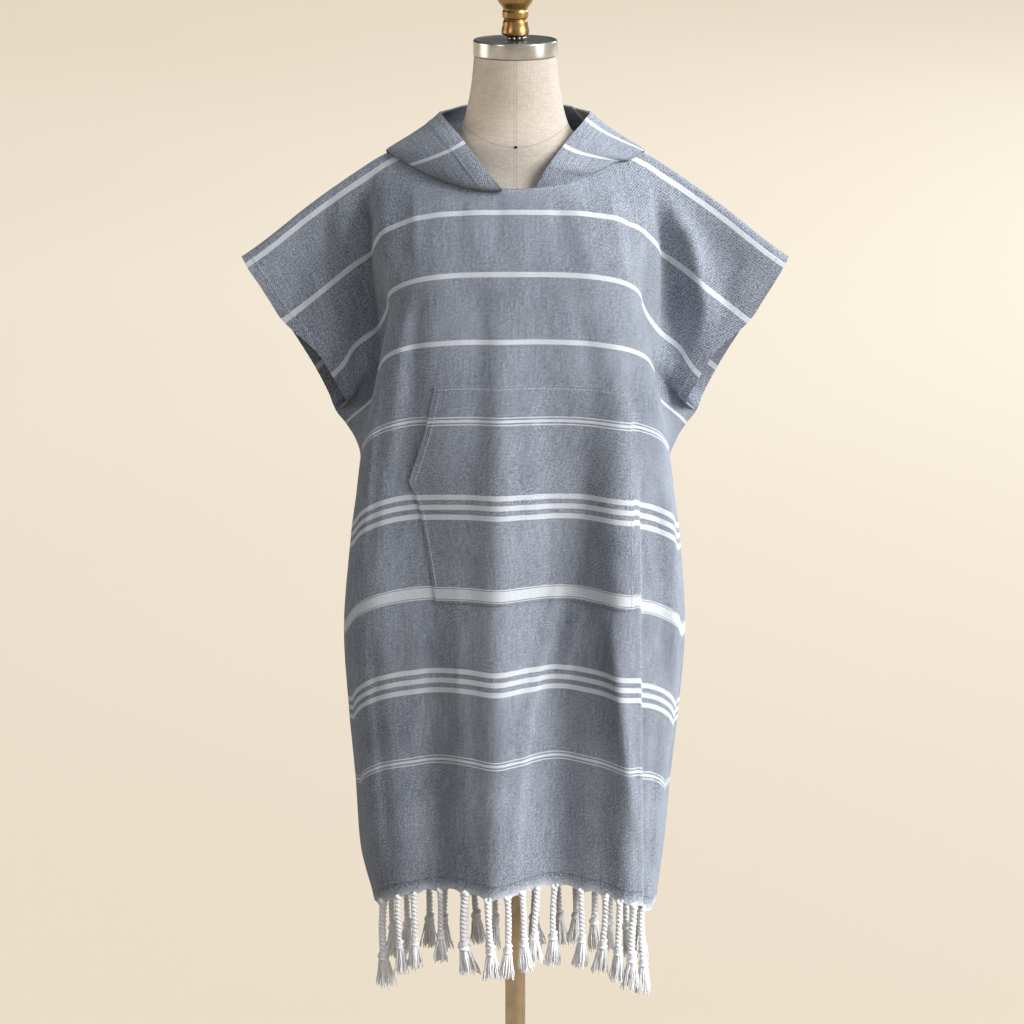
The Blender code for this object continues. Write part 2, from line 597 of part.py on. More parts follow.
def hood_points(side, rounds, runs, rises):
    """Outer surface of one half of the hood, by shares of its run along the panel and
    then of its way up and back in to the free edge."""
    row = {name: through_table(HOOD_STATIONS, HOOD_COLUMNS, name, rounds)
           for name in HOOD_COLUMNS[1:]}
    across, down = neckline(rounds)
    share = HOOD_START + (1.0 - HOOD_START) * runs[:, None]
    run_across = across + row["run_x"] * share
    run_down = down + row["run_v"] * share
    clear = HOOD_AIR[0] + (HOOD_AIR[1] - HOOD_AIR[0]) * runs[:, None] + 0.0 * run_down
    run = over_panels(side, run_across, run_down, clear)
    leave = run[-1]
    ahead = leave - run[-2]
    ahead /= np.linalg.norm(ahead, axis=-1, keepdims=True)
    out = over_panels(side, run_across[-1], run_down[-1], clear[-1] + 0.001) - leave
    out /= np.linalg.norm(out, axis=-1, keepdims=True)
    low = leave + ahead * row["ahead"][:, None] + out * row["out"][:, None]
    mirror = np.array((side, 1.0, 1.0))
    high, edge = (np.stack([row[f"{knot}_{axis}"] for axis in "xyz"], axis=-1) * mirror
                  for knot in ("high", "edge"))
    t = rises[:, None, None]
    rise = (leave * (1 - t) ** 3 + 3 * low * t * (1 - t) ** 2
            + 3 * (edge + high) * t * t * (1 - t) + edge * t ** 3)
    path = np.concatenate([run, rise])
    path[..., 0] = side * np.maximum(side * path[..., 0], 0.5 * SEAM_GAP)
    return path


def build_hood(side, name, collection, finish):
    """One half of the hood, from the neckline seam out and back to its free edge."""
    rounds = np.concatenate([np.linspace(0.0, 0.54, 9), np.linspace(0.58, 1.0, 11)])
    runs = np.array((0.0, 0.11, 0.24, 0.40, 0.66, 1.0))
    rises = np.linspace(0.0, 1.0, 12)[1:]
    outer = hood_points(side, rounds, runs, rises)
    normal = grid_normals(outer)
    normal[:, -1, 0] = 0.0
    inner = outer - side * HOOD_WALL * normal
    inner[..., 0] = side * np.maximum(side * inner[..., 0], 0.5 * SEAM_GAP)
    return add_wall(name, outer, inner, collection, finish)


# Fringe


def hem_line(face, reach):
    """Middle of the hem's lower edge at places given by reach."""
    points = panel_points(face, reach, np.full(len(reach), CLOTH_LENGTH))
    inward = 1.0 if face == "front" else -1.0
    points[:, 1] += inward * 0.5 * WALL
    return points


def strand(place, length, drift, radius):
    """Points and faces of one knotted end hanging from a place."""
    points = []
    faces = []
    for share, swell in STRAND_PROFILE:
        centre = (place[0] + drift * share, place[1], place[2] - length * share)
        for corner in range(STRAND_SIDES):
            angle = 2.0 * math.pi * (corner + 0.5) / STRAND_SIDES
            points.append((centre[0] + radius * swell * math.cos(angle),
                           centre[1] + radius * swell * math.sin(angle), centre[2]))
    for ring in range(len(STRAND_PROFILE) - 1):
        for corner in range(STRAND_SIDES):
            a = ring * STRAND_SIDES + corner
            b = ring * STRAND_SIDES + (corner + 1) % STRAND_SIDES
            faces.append((b, a, a + STRAND_SIDES, b + STRAND_SIDES))
    faces.append(tuple(range(STRAND_SIDES)))
    last = (len(STRAND_PROFILE) - 1) * STRAND_SIDES
    faces.append(tuple(last + corner for corner in range(STRAND_SIDES - 1, -1, -1)))
    return points, faces


def build_fringe(face, strands, collection, cutters, finish):
    """A narrow strip under the hem with the knotted ends fused to it."""
    rows = [dict(zip(STRAND_COLUMNS, row)) for row in strands]
    columns = front_columns if face == "front" else back_columns
    reach = columns(CLOTH_LENGTH)
    line = hem_line(face, reach[np.abs(reach) < 1.0])
    top = line - np.array((0.0, 0.0, STRIP_DROP))
    bottom = top - np.array((0.0, 0.0, STRIP_HEIGHT))
    tangent = np.gradient(line, axis=0)
    half = np.stack([tangent[:, 1], -tangent[:, 0], 0.0 * tangent[:, 0]], axis=-1)
    half *= 0.5 * STRIP_WALL / np.linalg.norm(half, axis=-1, keepdims=True)
    outer = np.stack([top + half, bottom + half])
    inner = np.stack([top - half, bottom - half])
    made = add_wall(f"{face}_fringe", outer, inner, collection, finish)
    across = np.array([row["across"] for row in rows])
    roots = hem_line(face, reach_at(face, across, np.full(len(rows), CLOTH_LENGTH)))
    points = []
    faces = []
    for root, row in zip(roots, rows):
        place = root - np.array((0.0, 0.0, STRIP_DROP + ROOT_DROP))
        new_points, new_faces = strand(place, row["length"], row["drift"], row["radius"])
        faces += [tuple(len(points) + corner for corner in face_) for face_ in new_faces]
        points += new_points
    ends_object = add_mesh(f"{face}_fringe_ends", points, faces, cutters, finish)
    ends_object.hide_render = True
    ends_object.display_type = "WIRE"
    union = made.modifiers.new("ends", "BOOLEAN")
    union.operation = "UNION"
    union.object = ends_object
    union.solver = "EXACT"
    return made


# Form and stand


def build_torso(collection, finish):
    """Torso and neck as a loft of rounded level sections."""
    angles = 2.0 * math.pi * np.arange(TORSO_SIDES) / TORSO_SIDES
    rings = []
    for row in TORSO_LEVELS:
        level = dict(zip(TORSO_COLUMNS, row))
        power = 2.0 / level["power"]
        cosine = np.sign(np.cos(angles)) * np.abs(np.cos(angles)) ** power
        sine = np.sign(np.sin(angles)) * np.abs(np.sin(angles)) ** power
        depth = np.where(sine < 0.0, -level["front"], level["back"])
        rings.append(np.stack([level["half_width"] * cosine, depth * sine,
                               np.full(TORSO_SIDES, level["z"])], axis=-1))
    faces = []
    for ring in range(len(rings) - 1):
        for corner in range(TORSO_SIDES):
            a = ring * TORSO_SIDES + corner
            b = ring * TORSO_SIDES + (corner + 1) % TORSO_SIDES
            faces.append((a, b, b + TORSO_SIDES, a + TORSO_SIDES))
    last = (len(rings) - 1) * TORSO_SIDES
    faces.append(tuple(range(TORSO_SIDES - 1, -1, -1)))
    faces.append(tuple(last + corner for corner in range(TORSO_SIDES)))
    return add_mesh("form_torso", np.concatenate(rings), faces, collection, finish)


def turned(name, profile, bottom, collection, finish):
    """A solid of revolution on the pole's axis from a profile of radius and height."""
    outline = [(0.0, profile[0][1])] + list(profile) + [(0.0, profile[-1][1])]
    mesh = bpy.data.meshes.new(name)
    points = [(radius, 0.0, height) for radius, height in reversed(outline)]
    mesh.from_pydata(points, [(i, i + 1) for i in range(len(points) - 1)], [])
    made = bpy.data.objects.new(name, mesh)
    made.location = (0.0, 0.0, bottom)
    collection.objects.link(made)
    screw = made.modifiers.new("turn", "SCREW")
    screw.steps = ROUND_SEGMENTS
    screw.render_steps = ROUND_SEGMENTS
    screw.use_merge_vertices = True
    screw.merge_threshold = 0.00001
    screw.use_smooth_shade = True
    mesh.materials.append(finish)
    return made


def build_stand(collection, finishes):
    """Neck cap, knob, plate, socket, pole and base."""
    cap = ((CAP_RADIUS - CAP_BEVEL, 0.0), (CAP_RADIUS, CAP_BEVEL),
           (CAP_RADIUS, CAP_TOP - CAP_BOTTOM - CAP_BEVEL),
           (CAP_RADIUS - CAP_BEVEL, CAP_TOP - CAP_BOTTOM))
    turned("neck_cap", cap, CAP_BOTTOM, collection, finishes["steel"])
    collar = ((COLLAR_RADIUS, 0.0), (COLLAR_RADIUS, COLLAR_HEIGHT))
    collar_bottom = CAP_TOP + SEAM_GAP
    turned("finial_collar", collar, collar_bottom, collection, finishes["dark"])
    finial_bottom = collar_bottom + COLLAR_HEIGHT + SEAM_GAP
    turned("finial", FINIAL_PROFILE, finial_bottom, collection, finishes["brass"])
    plate = ((PLATE_RADIUS, 0.0), (PLATE_RADIUS, PLATE_THICKNESS))
    plate_bottom = TORSO_LEVELS[0][0] - SEAM_GAP - PLATE_THICKNESS
    turned("form_plate", plate, plate_bottom, collection, finishes["dark"])
    socket = ((POLE_RADIUS + 0.004, 0.0), (SOCKET_RADIUS, 0.006), (SOCKET_RADIUS, SOCKET_LENGTH))
    socket_bottom = plate_bottom - SEAM_GAP - SOCKET_LENGTH
    turned("pole_socket", socket, socket_bottom, collection, finishes["bronze"])
    base = ((BASE_RADIUS, 0.0), (BASE_RADIUS, BASE_THICKNESS - BASE_BEVEL),
            (BASE_RADIUS - BASE_BEVEL, BASE_THICKNESS))
    turned("base_plate", base, 0.0, collection, finishes["bronze"])
    hub_bottom = BASE_THICKNESS + SEAM_GAP
    hub = ((HUB_RADIUS, 0.0), (HUB_RADIUS, 0.006), (POLE_RADIUS + 0.006, HUB_HEIGHT))
    turned("base_hub", hub, hub_bottom, collection, finishes["bronze"])
    pole_bottom = hub_bottom + HUB_HEIGHT + SEAM_GAP
    pole = ((POLE_RADIUS, 0.0), (POLE_RADIUS, socket_bottom - SEAM_GAP - pole_bottom))
    turned("pole", pole, pole_bottom, collection, finishes["bronze"])


def main():
    """Build every piece."""
    parts, cutters = clear_scene()
    cloth = material("striped towelling", "cloth", 0.9)
    fringe = material("undyed cotton ends", "fringe", 0.9)
    build_panel("front", parts, cloth)
    build_panel("back", parts, cloth)
    build_hood(-1.0, "hood_left", parts, cloth)
    build_hood(1.0, "hood_right", parts, cloth)
    build_pocket(parts, cloth)
    build_fringe("front", FRONT_STRANDS, parts, cutters, fringe)
    build_fringe("back", BACK_STRANDS, parts, cutters, fringe)
    build_torso(parts, material("form linen", "linen", 0.9))
    finishes = {
        "steel": material("brushed steel", "steel", 0.35, 1.0),
        "dark": material("blackened steel", "dark", 0.5, 1.0),
        "brass": material("aged brass", "brass", 0.35, 1.0),
        "bronze": material("satin bronze", "bronze", 0.4, 1.0),
    }
    build_stand(parts, finishes)


main()
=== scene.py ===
"""Hooded bath poncho of striped flat-woven towelling on a linen dress form.

Every length is in metres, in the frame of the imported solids: +Z up, the front faces -Y
and the origin is the middle of the underside of the round base. A place on a panel is
given by reach, 0 in the middle, 1 or -1 at the crest where the cloth turns back and 2 or
-2 at the cuff or side seam, and by down, the distance down the cloth from the shoulder.
"""

import logging
import math
from collections.abc import Callable
from dataclasses import dataclass
from enum import Enum

import bpy
import numpy as np
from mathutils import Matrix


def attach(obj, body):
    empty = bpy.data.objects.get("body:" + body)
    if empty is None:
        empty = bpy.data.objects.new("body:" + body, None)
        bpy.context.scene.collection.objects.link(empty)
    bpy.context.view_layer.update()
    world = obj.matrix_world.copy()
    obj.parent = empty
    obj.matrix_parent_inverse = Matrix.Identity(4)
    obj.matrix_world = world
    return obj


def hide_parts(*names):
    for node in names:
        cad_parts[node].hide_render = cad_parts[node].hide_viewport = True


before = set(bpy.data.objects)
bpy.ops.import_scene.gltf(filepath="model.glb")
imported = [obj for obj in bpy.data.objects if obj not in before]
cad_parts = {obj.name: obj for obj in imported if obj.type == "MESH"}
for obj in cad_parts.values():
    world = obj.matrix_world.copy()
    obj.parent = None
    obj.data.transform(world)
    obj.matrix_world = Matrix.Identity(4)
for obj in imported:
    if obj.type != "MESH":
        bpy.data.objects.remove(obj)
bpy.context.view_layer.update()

LOG = logging.getLogger("poncho")
Array = np.ndarray

CLOTH_LENGTH = 0.945
CLOTH_WALL = 0.0012
SEAM_GAP = 0.0003


# Numbers and curves


def srgb(hex_colour: str) -> tuple[float, float, float, float]:
    """Linear RGBA of an sRGB hex colour.

    Args:
        hex_colour: six hex digits.

    Returns:
        The colour for a shader, with alpha 1.
    """
    parts = np.array([int(hex_colour[i:i + 2], 16) for i in (0, 2, 4)]) / 255.0
    linear = np.where(parts <= 0.04045, parts / 12.92, ((parts + 0.055) / 1.055) ** 2.4)
    return (*linear.tolist(), 1.0)


def ease(value: Array, start: float, full: float) -> Array:
    """Smooth step from 0 at start to 1 at full."""
    t = np.clip((value - start) / (full - start), 0.0, 1.0)
    return t * t * (3.0 - 2.0 * t)


def arc(start: Array, leave: Array, end: Array, arrive: Array, t: Array) -> Array:
    """Cubic from start to end with given speeds at both."""
    return (start * (1 + 2 * t) * (1 - t) ** 2 + leave * t * (1 - t) ** 2
            + end * t * t * (3 - 2 * t) + arrive * t * t * (t - 1))


def unit(vectors: Array) -> Array:
    """Vectors at length one."""
    return vectors / np.maximum(np.linalg.norm(vectors, axis=-1, keepdims=True), 1e-12)


@dataclass(frozen=True)
class Table:
    """Short table whose columns are read as smooth curves along its first column."""

    names: tuple[str, ...]
    rows: tuple[tuple[float, ...], ...]

    def at(self, name: str, where: Array) -> Array:
        """Never overshooting cubic through one column.

        Args:
            name: the column.
            where: places along the first column, held inside it.

        Returns:
            The column's value there.
        """
        table = np.asarray(self.rows, float)
        knot = table[:, 0]
        value = table[:, self.names.index(name)]
        where = np.clip(np.asarray(where, float), knot[0], knot[-1])
        step = np.diff(knot)
        rise = np.diff(value) / step
        slope = np.empty_like(value)
        slope[0], slope[-1] = rise[0], rise[-1]
        same_way = rise[:-1] * rise[1:] > 0.0
        weight_a = 2.0 * step[1:] + step[:-1]
        weight_b = step[1:] + 2.0 * step[:-1]
        safe_a = np.where(same_way, rise[:-1], 1.0)
        safe_b = np.where(same_way, rise[1:], 1.0)
        mean = (weight_a + weight_b) / (weight_a / safe_a + weight_b / safe_b)
        slope[1:-1] = np.where(same_way, mean, 0.0)
        index = np.clip(np.searchsorted(knot, where, side="right") - 1, 0, len(step) - 1)
        t = (where - knot[index]) / step[index]
        return arc(value[index], step[index] * slope[index],
                   value[index + 1], step[index] * slope[index + 1], t)


# Meshes


def grid_quads(rows: int, columns: int, closed: bool = False) -> Array:
    """Corner numbers of a grid's quads; closed joins its last column to its first.

    Args:
        rows: rows of points.
        columns: points in a row.
        closed: whether the last column joins the first.

    Returns:
        One row of four corner numbers for each quad.
    """
    row = np.arange(rows - 1)[:, None]
    column = np.arange(columns if closed else columns - 1)[None, :]
    a = row * columns + column
    b = row * columns + (column + 1) % columns
    return np.stack([a, b, b + columns, a + columns], axis=-1).reshape(-1, 4)


def shell_quads(rows: int, columns: int) -> Array:
    """Quads of a closed wall: outer grid, inner grid and the rim between them.

    Args:
        rows: rows of points in each grid.
        columns: points in a row.

    Returns:
        The quads, with the inner grid numbered after the outer one.
    """
    outer = grid_quads(rows, columns)
    count = rows * columns
    rim = np.concatenate([
        np.arange(columns), np.arange(1, rows) * columns + columns - 1,
        (rows - 1) * columns + np.arange(columns - 2, -1, -1),
        np.arange(rows - 2, 0, -1) * columns])
    after = np.roll(rim, -1)
    edge = np.stack([after, rim, rim + count, after + count], axis=-1)
    return np.concatenate([outer, outer[:, ::-1] + count, edge])


def signed_volume(points: Array, quads: Array) -> float:
    """Volume inside quads that face out, from the tetrahedra to the origin."""
    a, b, c, d = (points[quads[:, corner]] for corner in range(4))
    return float(np.sum(np.cross(a, b) * c) + np.sum(np.cross(a, c) * d)) / 6.0


def add_mesh(name: str, points: Array, faces: list, finish: bpy.types.Material,
             uv: Array | None = None, sharp: float = 50.0) -> bpy.types.Object:
    """A named object at the origin with its place in its mesh.

    Args:
        name: the piece's name.
        points: one row for each point.
        faces: corner numbers of each face, seen from outside against the clock.
        finish: its material.
        uv: flat place of each point, in metres on the cloth.
        sharp: edges that turn by more than this many degrees stay hard.

    Returns:
        The linked object.
    """
    mesh = bpy.data.meshes.new(name)
    mesh.from_pydata(points.tolist(), [], faces)
    mesh.update()
    mesh.shade_smooth()
    mesh.set_sharp_from_angle(angle=math.radians(sharp))
    if uv is not None:
        corner = np.empty(len(mesh.loops), dtype=np.int32)
        mesh.loops.foreach_get("vertex_index", corner)
        layer = mesh.uv_layers.new(name="UVMap")
        layer.data.foreach_set("uv", uv[corner].astype(np.float32).ravel())
    mesh.materials.append(finish)
    made = bpy.data.objects.new(name, mesh)
    bpy.context.scene.collection.objects.link(made)
    return made


def add_shell(name: str, outer: Array, inner: Array, uv: Array,
              finish: bpy.types.Material) -> bpy.types.Object:
    """A thin closed cloth between two grids of points, its faces pointing out.

    Args:
        name: the piece's name.
        outer: outer grid of points.
        inner: inner grid, of the same shape.
        uv: flat place of each point of a grid.
        finish: its material.

    Returns:
        The linked object.
    """
    quads = shell_quads(*outer.shape[:2])
    points = np.concatenate([outer.reshape(-1, 3), inner.reshape(-1, 3)])
    if signed_volume(points, quads) < 0.0:
        quads = quads[:, ::-1]
    flat = uv.reshape(-1, 2)
    return add_mesh(name, points, quads.tolist(), finish, np.concatenate([flat, flat]))


def grid_normals(grid: Array) -> Array:
    """Unit normals of a grid of points, from its neighbours."""
    return unit(np.cross(np.gradient(grid, axis=1), np.gradient(grid, axis=0)))


def tubes(paths: Array, radii: Array, sides: int, beside: Array) -> tuple[Array, list]:
    """Closed tubes: a ring of sides points round each point of each path.

    Args:
        paths: k paths of n points, shape (k, n, 3).
        radii: radius at each point, shape (k, n).
        sides: points of a ring.
        beside: a direction that no path runs along, shape (3,) or (k, 1, 3).

    Returns:
        The points and the faces, with both ends of each tube shut.
    """
    along = unit(np.gradient(paths, axis=1))
    first = unit(np.cross(along, np.broadcast_to(beside, paths.shape)))
    second = np.cross(along, first)
    turn = 2.0 * math.pi * np.arange(sides) / sides
    ring = (np.cos(turn)[:, None] * first[:, :, None] + np.sin(turn)[:, None]
            * second[:, :, None])
    points = paths[:, :, None] + radii[:, :, None, None] * ring
    count, steps = paths.shape[:2]
    base = np.arange(count)[:, None, None] * steps * sides
    quads = (grid_quads(steps, sides, closed=True)[None] + base).reshape(-1, 4)
    start = (np.arange(sides)[::-1] + base[:, 0]).tolist()
    stop = (np.arange(sides) + (steps - 1) * sides + base[:, 0]).tolist()
    return points.reshape(-1, 3), quads.tolist() + start + stop


def add_rings(name: str, rings: Array, finish: bpy.types.Material,
              sharp: float) -> bpy.types.Object:
    """A solid from level rings of points, one above the other, shut at both ends.

    Args:
        name: the piece's name.
        rings: the rings from the lowest up, shape (levels, points of a ring, 3).
        finish: its material.
        sharp: edges that turn by more than this many degrees stay hard.

    Returns:
        The object, each end shut by a fan round a pole on the Z axis.
    """
    levels, segments = rings.shape[:2]
    poles = np.array([(0.0, 0.0, rings[0, 0, 2]), (0.0, 0.0, rings[-1, 0, 2])])
    points = np.concatenate([rings.reshape(-1, 3), poles])
    count = levels * segments
    here = np.arange(segments)
    after = (here + 1) % segments
    last = count - segments
    low = np.stack([after, here, 0 * here + count], axis=-1)
    high = np.stack([last + here, last + after, 0 * here + count + 1], axis=-1)
    faces = grid_quads(levels, segments, closed=True).tolist() + low.tolist() + high.tolist()
    return add_mesh(name, points, faces, finish, sharp=sharp)


def turned(name: str, profile: Array, bottom: float, finish: bpy.types.Material,
           segments: int = 96) -> bpy.types.Object:
    """A solid of revolution: a profile of radius and height carried round the pole's axis.

    Args:
        name: the piece's name.
        profile: rows of radius and height from the lower pole to the upper one.
        bottom: height of the profile's zero.
        finish: its material.
        segments: steps round the axis.

    Returns:
        The object, closed at both poles.
    """
    turn = 2.0 * math.pi * np.arange(segments) / segments
    radius, height = profile[:, :1], profile[:, 1:] + bottom
    rings = np.stack([radius * np.cos(turn), radius * np.sin(turn),
                      height + 0.0 * turn], axis=-1)
    return add_rings(name, rings, finish, 35.0)


def rounded(corners: tuple[tuple[float, float], ...], radius: float, steps: int = 4) -> Array:
    """A profile with each inner corner rounded by a quadratic curve of a given reach.

    Args:
        corners: radius and height of each corner, from the lower pole up.
        radius: how far from a corner its curve starts, at most 0.45 of the way to the next.
        steps: points of each curve.

    Returns:
        Rows of radius and height.
    """
    at = np.asarray(corners, float)
    inner = at[1:-1]
    before, after = at[:-2] - inner, at[2:] - inner
    cut = [np.minimum(radius, 0.45 * np.linalg.norm(way, axis=1, keepdims=True))
           for way in (before, after)]
    start, stop = inner + unit(before) * cut[0], inner + unit(after) * cut[1]
    t = np.linspace(0.0, 1.0, steps)[:, None, None]
    bend = start * (1 - t) ** 2 + 2 * inner * t * (1 - t) + stop * t * t
    return np.concatenate([at[:1], bend.transpose(1, 0, 2).reshape(-1, 2), at[-1:]])


def carry(piece: bpy.types.Object, slot: str, *nodes: str) -> bpy.types.Object:
    """Let a piece ride on the body and stand for its nodes, if any.

    Args:
        piece: the piece.
        slot: not used.
        nodes: the nodes that it replaces.

    Returns:
        The same piece.
    """
    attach(piece, "root")
    if nodes:
        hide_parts(*nodes)
    LOG.info("%s: %d faces", piece.name, len(piece.data.polygons))
    return piece


# Finishes


def add_node(tree: bpy.types.NodeTree, kind: str, inputs: dict | None = None,
             **settings: object) -> bpy.types.Node:
    """Add a node.

    Args:
        tree: the material's nodes.
        kind: the node's type name.
        inputs: a value or a linked output for each input, by name or number.
        settings: the node's own properties.

    Returns:
        The node.
    """
    made = tree.nodes.new(kind)
    for name, value in settings.items():
        setattr(made, name, value)
    for key, value in (inputs or {}).items():
        if isinstance(value, bpy.types.NodeSocket):
            tree.links.new(value, made.inputs[key])
        else:
            made.inputs[key].default_value = value
    return made


def math_node(tree: bpy.types.NodeTree, operation: str,
              *values: object) -> bpy.types.NodeSocket:
    """The result of one sum on values or linked outputs."""
    return add_node(tree, "ShaderNodeMath", dict(enumerate(values)),
                    operation=operation).outputs[0]


def mix_colour(tree: bpy.types.NodeTree, share: object, low: object,
               high: object) -> bpy.types.NodeSocket:
    """Colour between low and high by a share from 0 to 1."""
    return add_node(tree, "ShaderNodeMix", {0: share, 6: low, 7: high},
                    data_type="RGBA").outputs[2]


def ranged(tree: bpy.types.NodeTree, value: object, start: float, full: float,
           low: float = 0.0, high: float = 1.0, **settings: str) -> bpy.types.NodeSocket:
    """A value's way from start to full, given as a number from low to high.

    Args:
        tree: the material's nodes.
        value: the value.
        start: where the way starts.
        full: where it ends.
        low: the number at its start.
        high: the number at its end.
        settings: the node's own properties.

    Returns:
        The number.
    """
    return add_node(tree, "ShaderNodeMapRange", {
        "Value": value, "From Min": start, "From Max": full, "To Min": low,
        "To Max": high}, **settings).outputs[0]


def grain(tree: bpy.types.NodeTree, place: bpy.types.NodeSocket, scale: float,
          stretch: tuple[float, float, float] = (1.0, 1.0, 1.0), detail: float = 2.0,
          turn: float = 0.0, roughness: float = 0.5) -> bpy.types.NodeSocket:
    """Noise with its grains drawn out.

    Args:
        tree: the material's nodes.
        place: the coordinates, in metres.
        scale: grains per metre.
        stretch: share of that scale along each axis; a small one draws the grains out.
        detail: octaves of the noise.
        turn: angle that keeps the noise's grid from running level with the weave.
        roughness: how strong the finer octaves are.

    Returns:
        The noise as one number.
    """
    mapping = add_node(tree, "ShaderNodeMapping", {
        "Vector": place, "Scale": stretch, "Rotation": (0.0, 0.0, turn)})
    return add_node(tree, "ShaderNodeTexNoise", {
        "Vector": mapping.outputs[0], "Scale": scale, "Detail": detail,
        "Roughness": roughness}).outputs[0]


def object_place(tree: bpy.types.NodeTree) -> bpy.types.NodeSocket:
    """Object coordinates, which are the world's because every piece is at the origin."""
    return add_node(tree, "ShaderNodeTexCoord").outputs["Object"]


def dress(tree: bpy.types.NodeTree, shader: bpy.types.Node, colour: bpy.types.NodeSocket,
          height: bpy.types.NodeSocket, strength: float, distance: float) -> None:
    """Link a colour to the shader, and a height to its normal through a bump.

    Args:
        tree: the material's nodes.
        shader: its Principled shader.
        colour: the base colour.
        height: height for the bump.
        strength: strength of the bump.
        distance: depth of the bump.
    """
    tree.links.new(colour, shader.inputs["Base Color"])
    bump = add_node(tree, "ShaderNodeBump", {
        "Height": height, "Strength": strength, "Distance": distance})
    tree.links.new(bump.outputs[0], shader.inputs["Normal"])


def blank(name: str, **values: object) -> tuple[bpy.types.Material, bpy.types.NodeTree,
                                                bpy.types.Node]:
    """A new material with constants set on its Principled shader.

    Args:
        name: what the material is.
        values: inputs of the shader, with underscores for spaces.

    Returns:
        The material, its nodes and its shader.
    """
    made = bpy.data.materials.new(name)
    made.use_nodes = True
    tree = made.node_tree
    shader = tree.nodes["Principled BSDF"]
    for key, value in values.items():
        shader.inputs[key.replace("_", " ")].default_value = value
    return made, tree, shader


class Layout(Enum):
    """Which run of woven stripes a piece shows."""

    PANEL = "panel"
    HOOD_LEFT = "hood left"
    HOOD_RIGHT = "hood right"


# Middle of each woven white line down the cloth and its width
STRIPES = {
    Layout.PANEL: (
        (0.0160, 0.0062), (0.0960, 0.0062), (0.1720, 0.0062), (0.2560, 0.0062),
        (0.3475, 0.0014), (0.3520, 0.0034), (0.3565, 0.0014),
        (0.4465, 0.0064), (0.4590, 0.0064), (0.4715, 0.0064),
        (0.5600, 0.0013), (0.5680, 0.0125), (0.5760, 0.0013),
        (0.6695, 0.0064), (0.6820, 0.0064), (0.6945, 0.0064),
        (0.7795, 0.0014), (0.7840, 0.0034), (0.7885, 0.0014),
    ),
    Layout.HOOD_LEFT: ((0.0840, 0.0062), (0.1680, 0.0062), (0.2500, 0.0062)),
    Layout.HOOD_RIGHT: ((0.0660, 0.0062), (0.1240, 0.0062), (0.2080, 0.0062)),
}


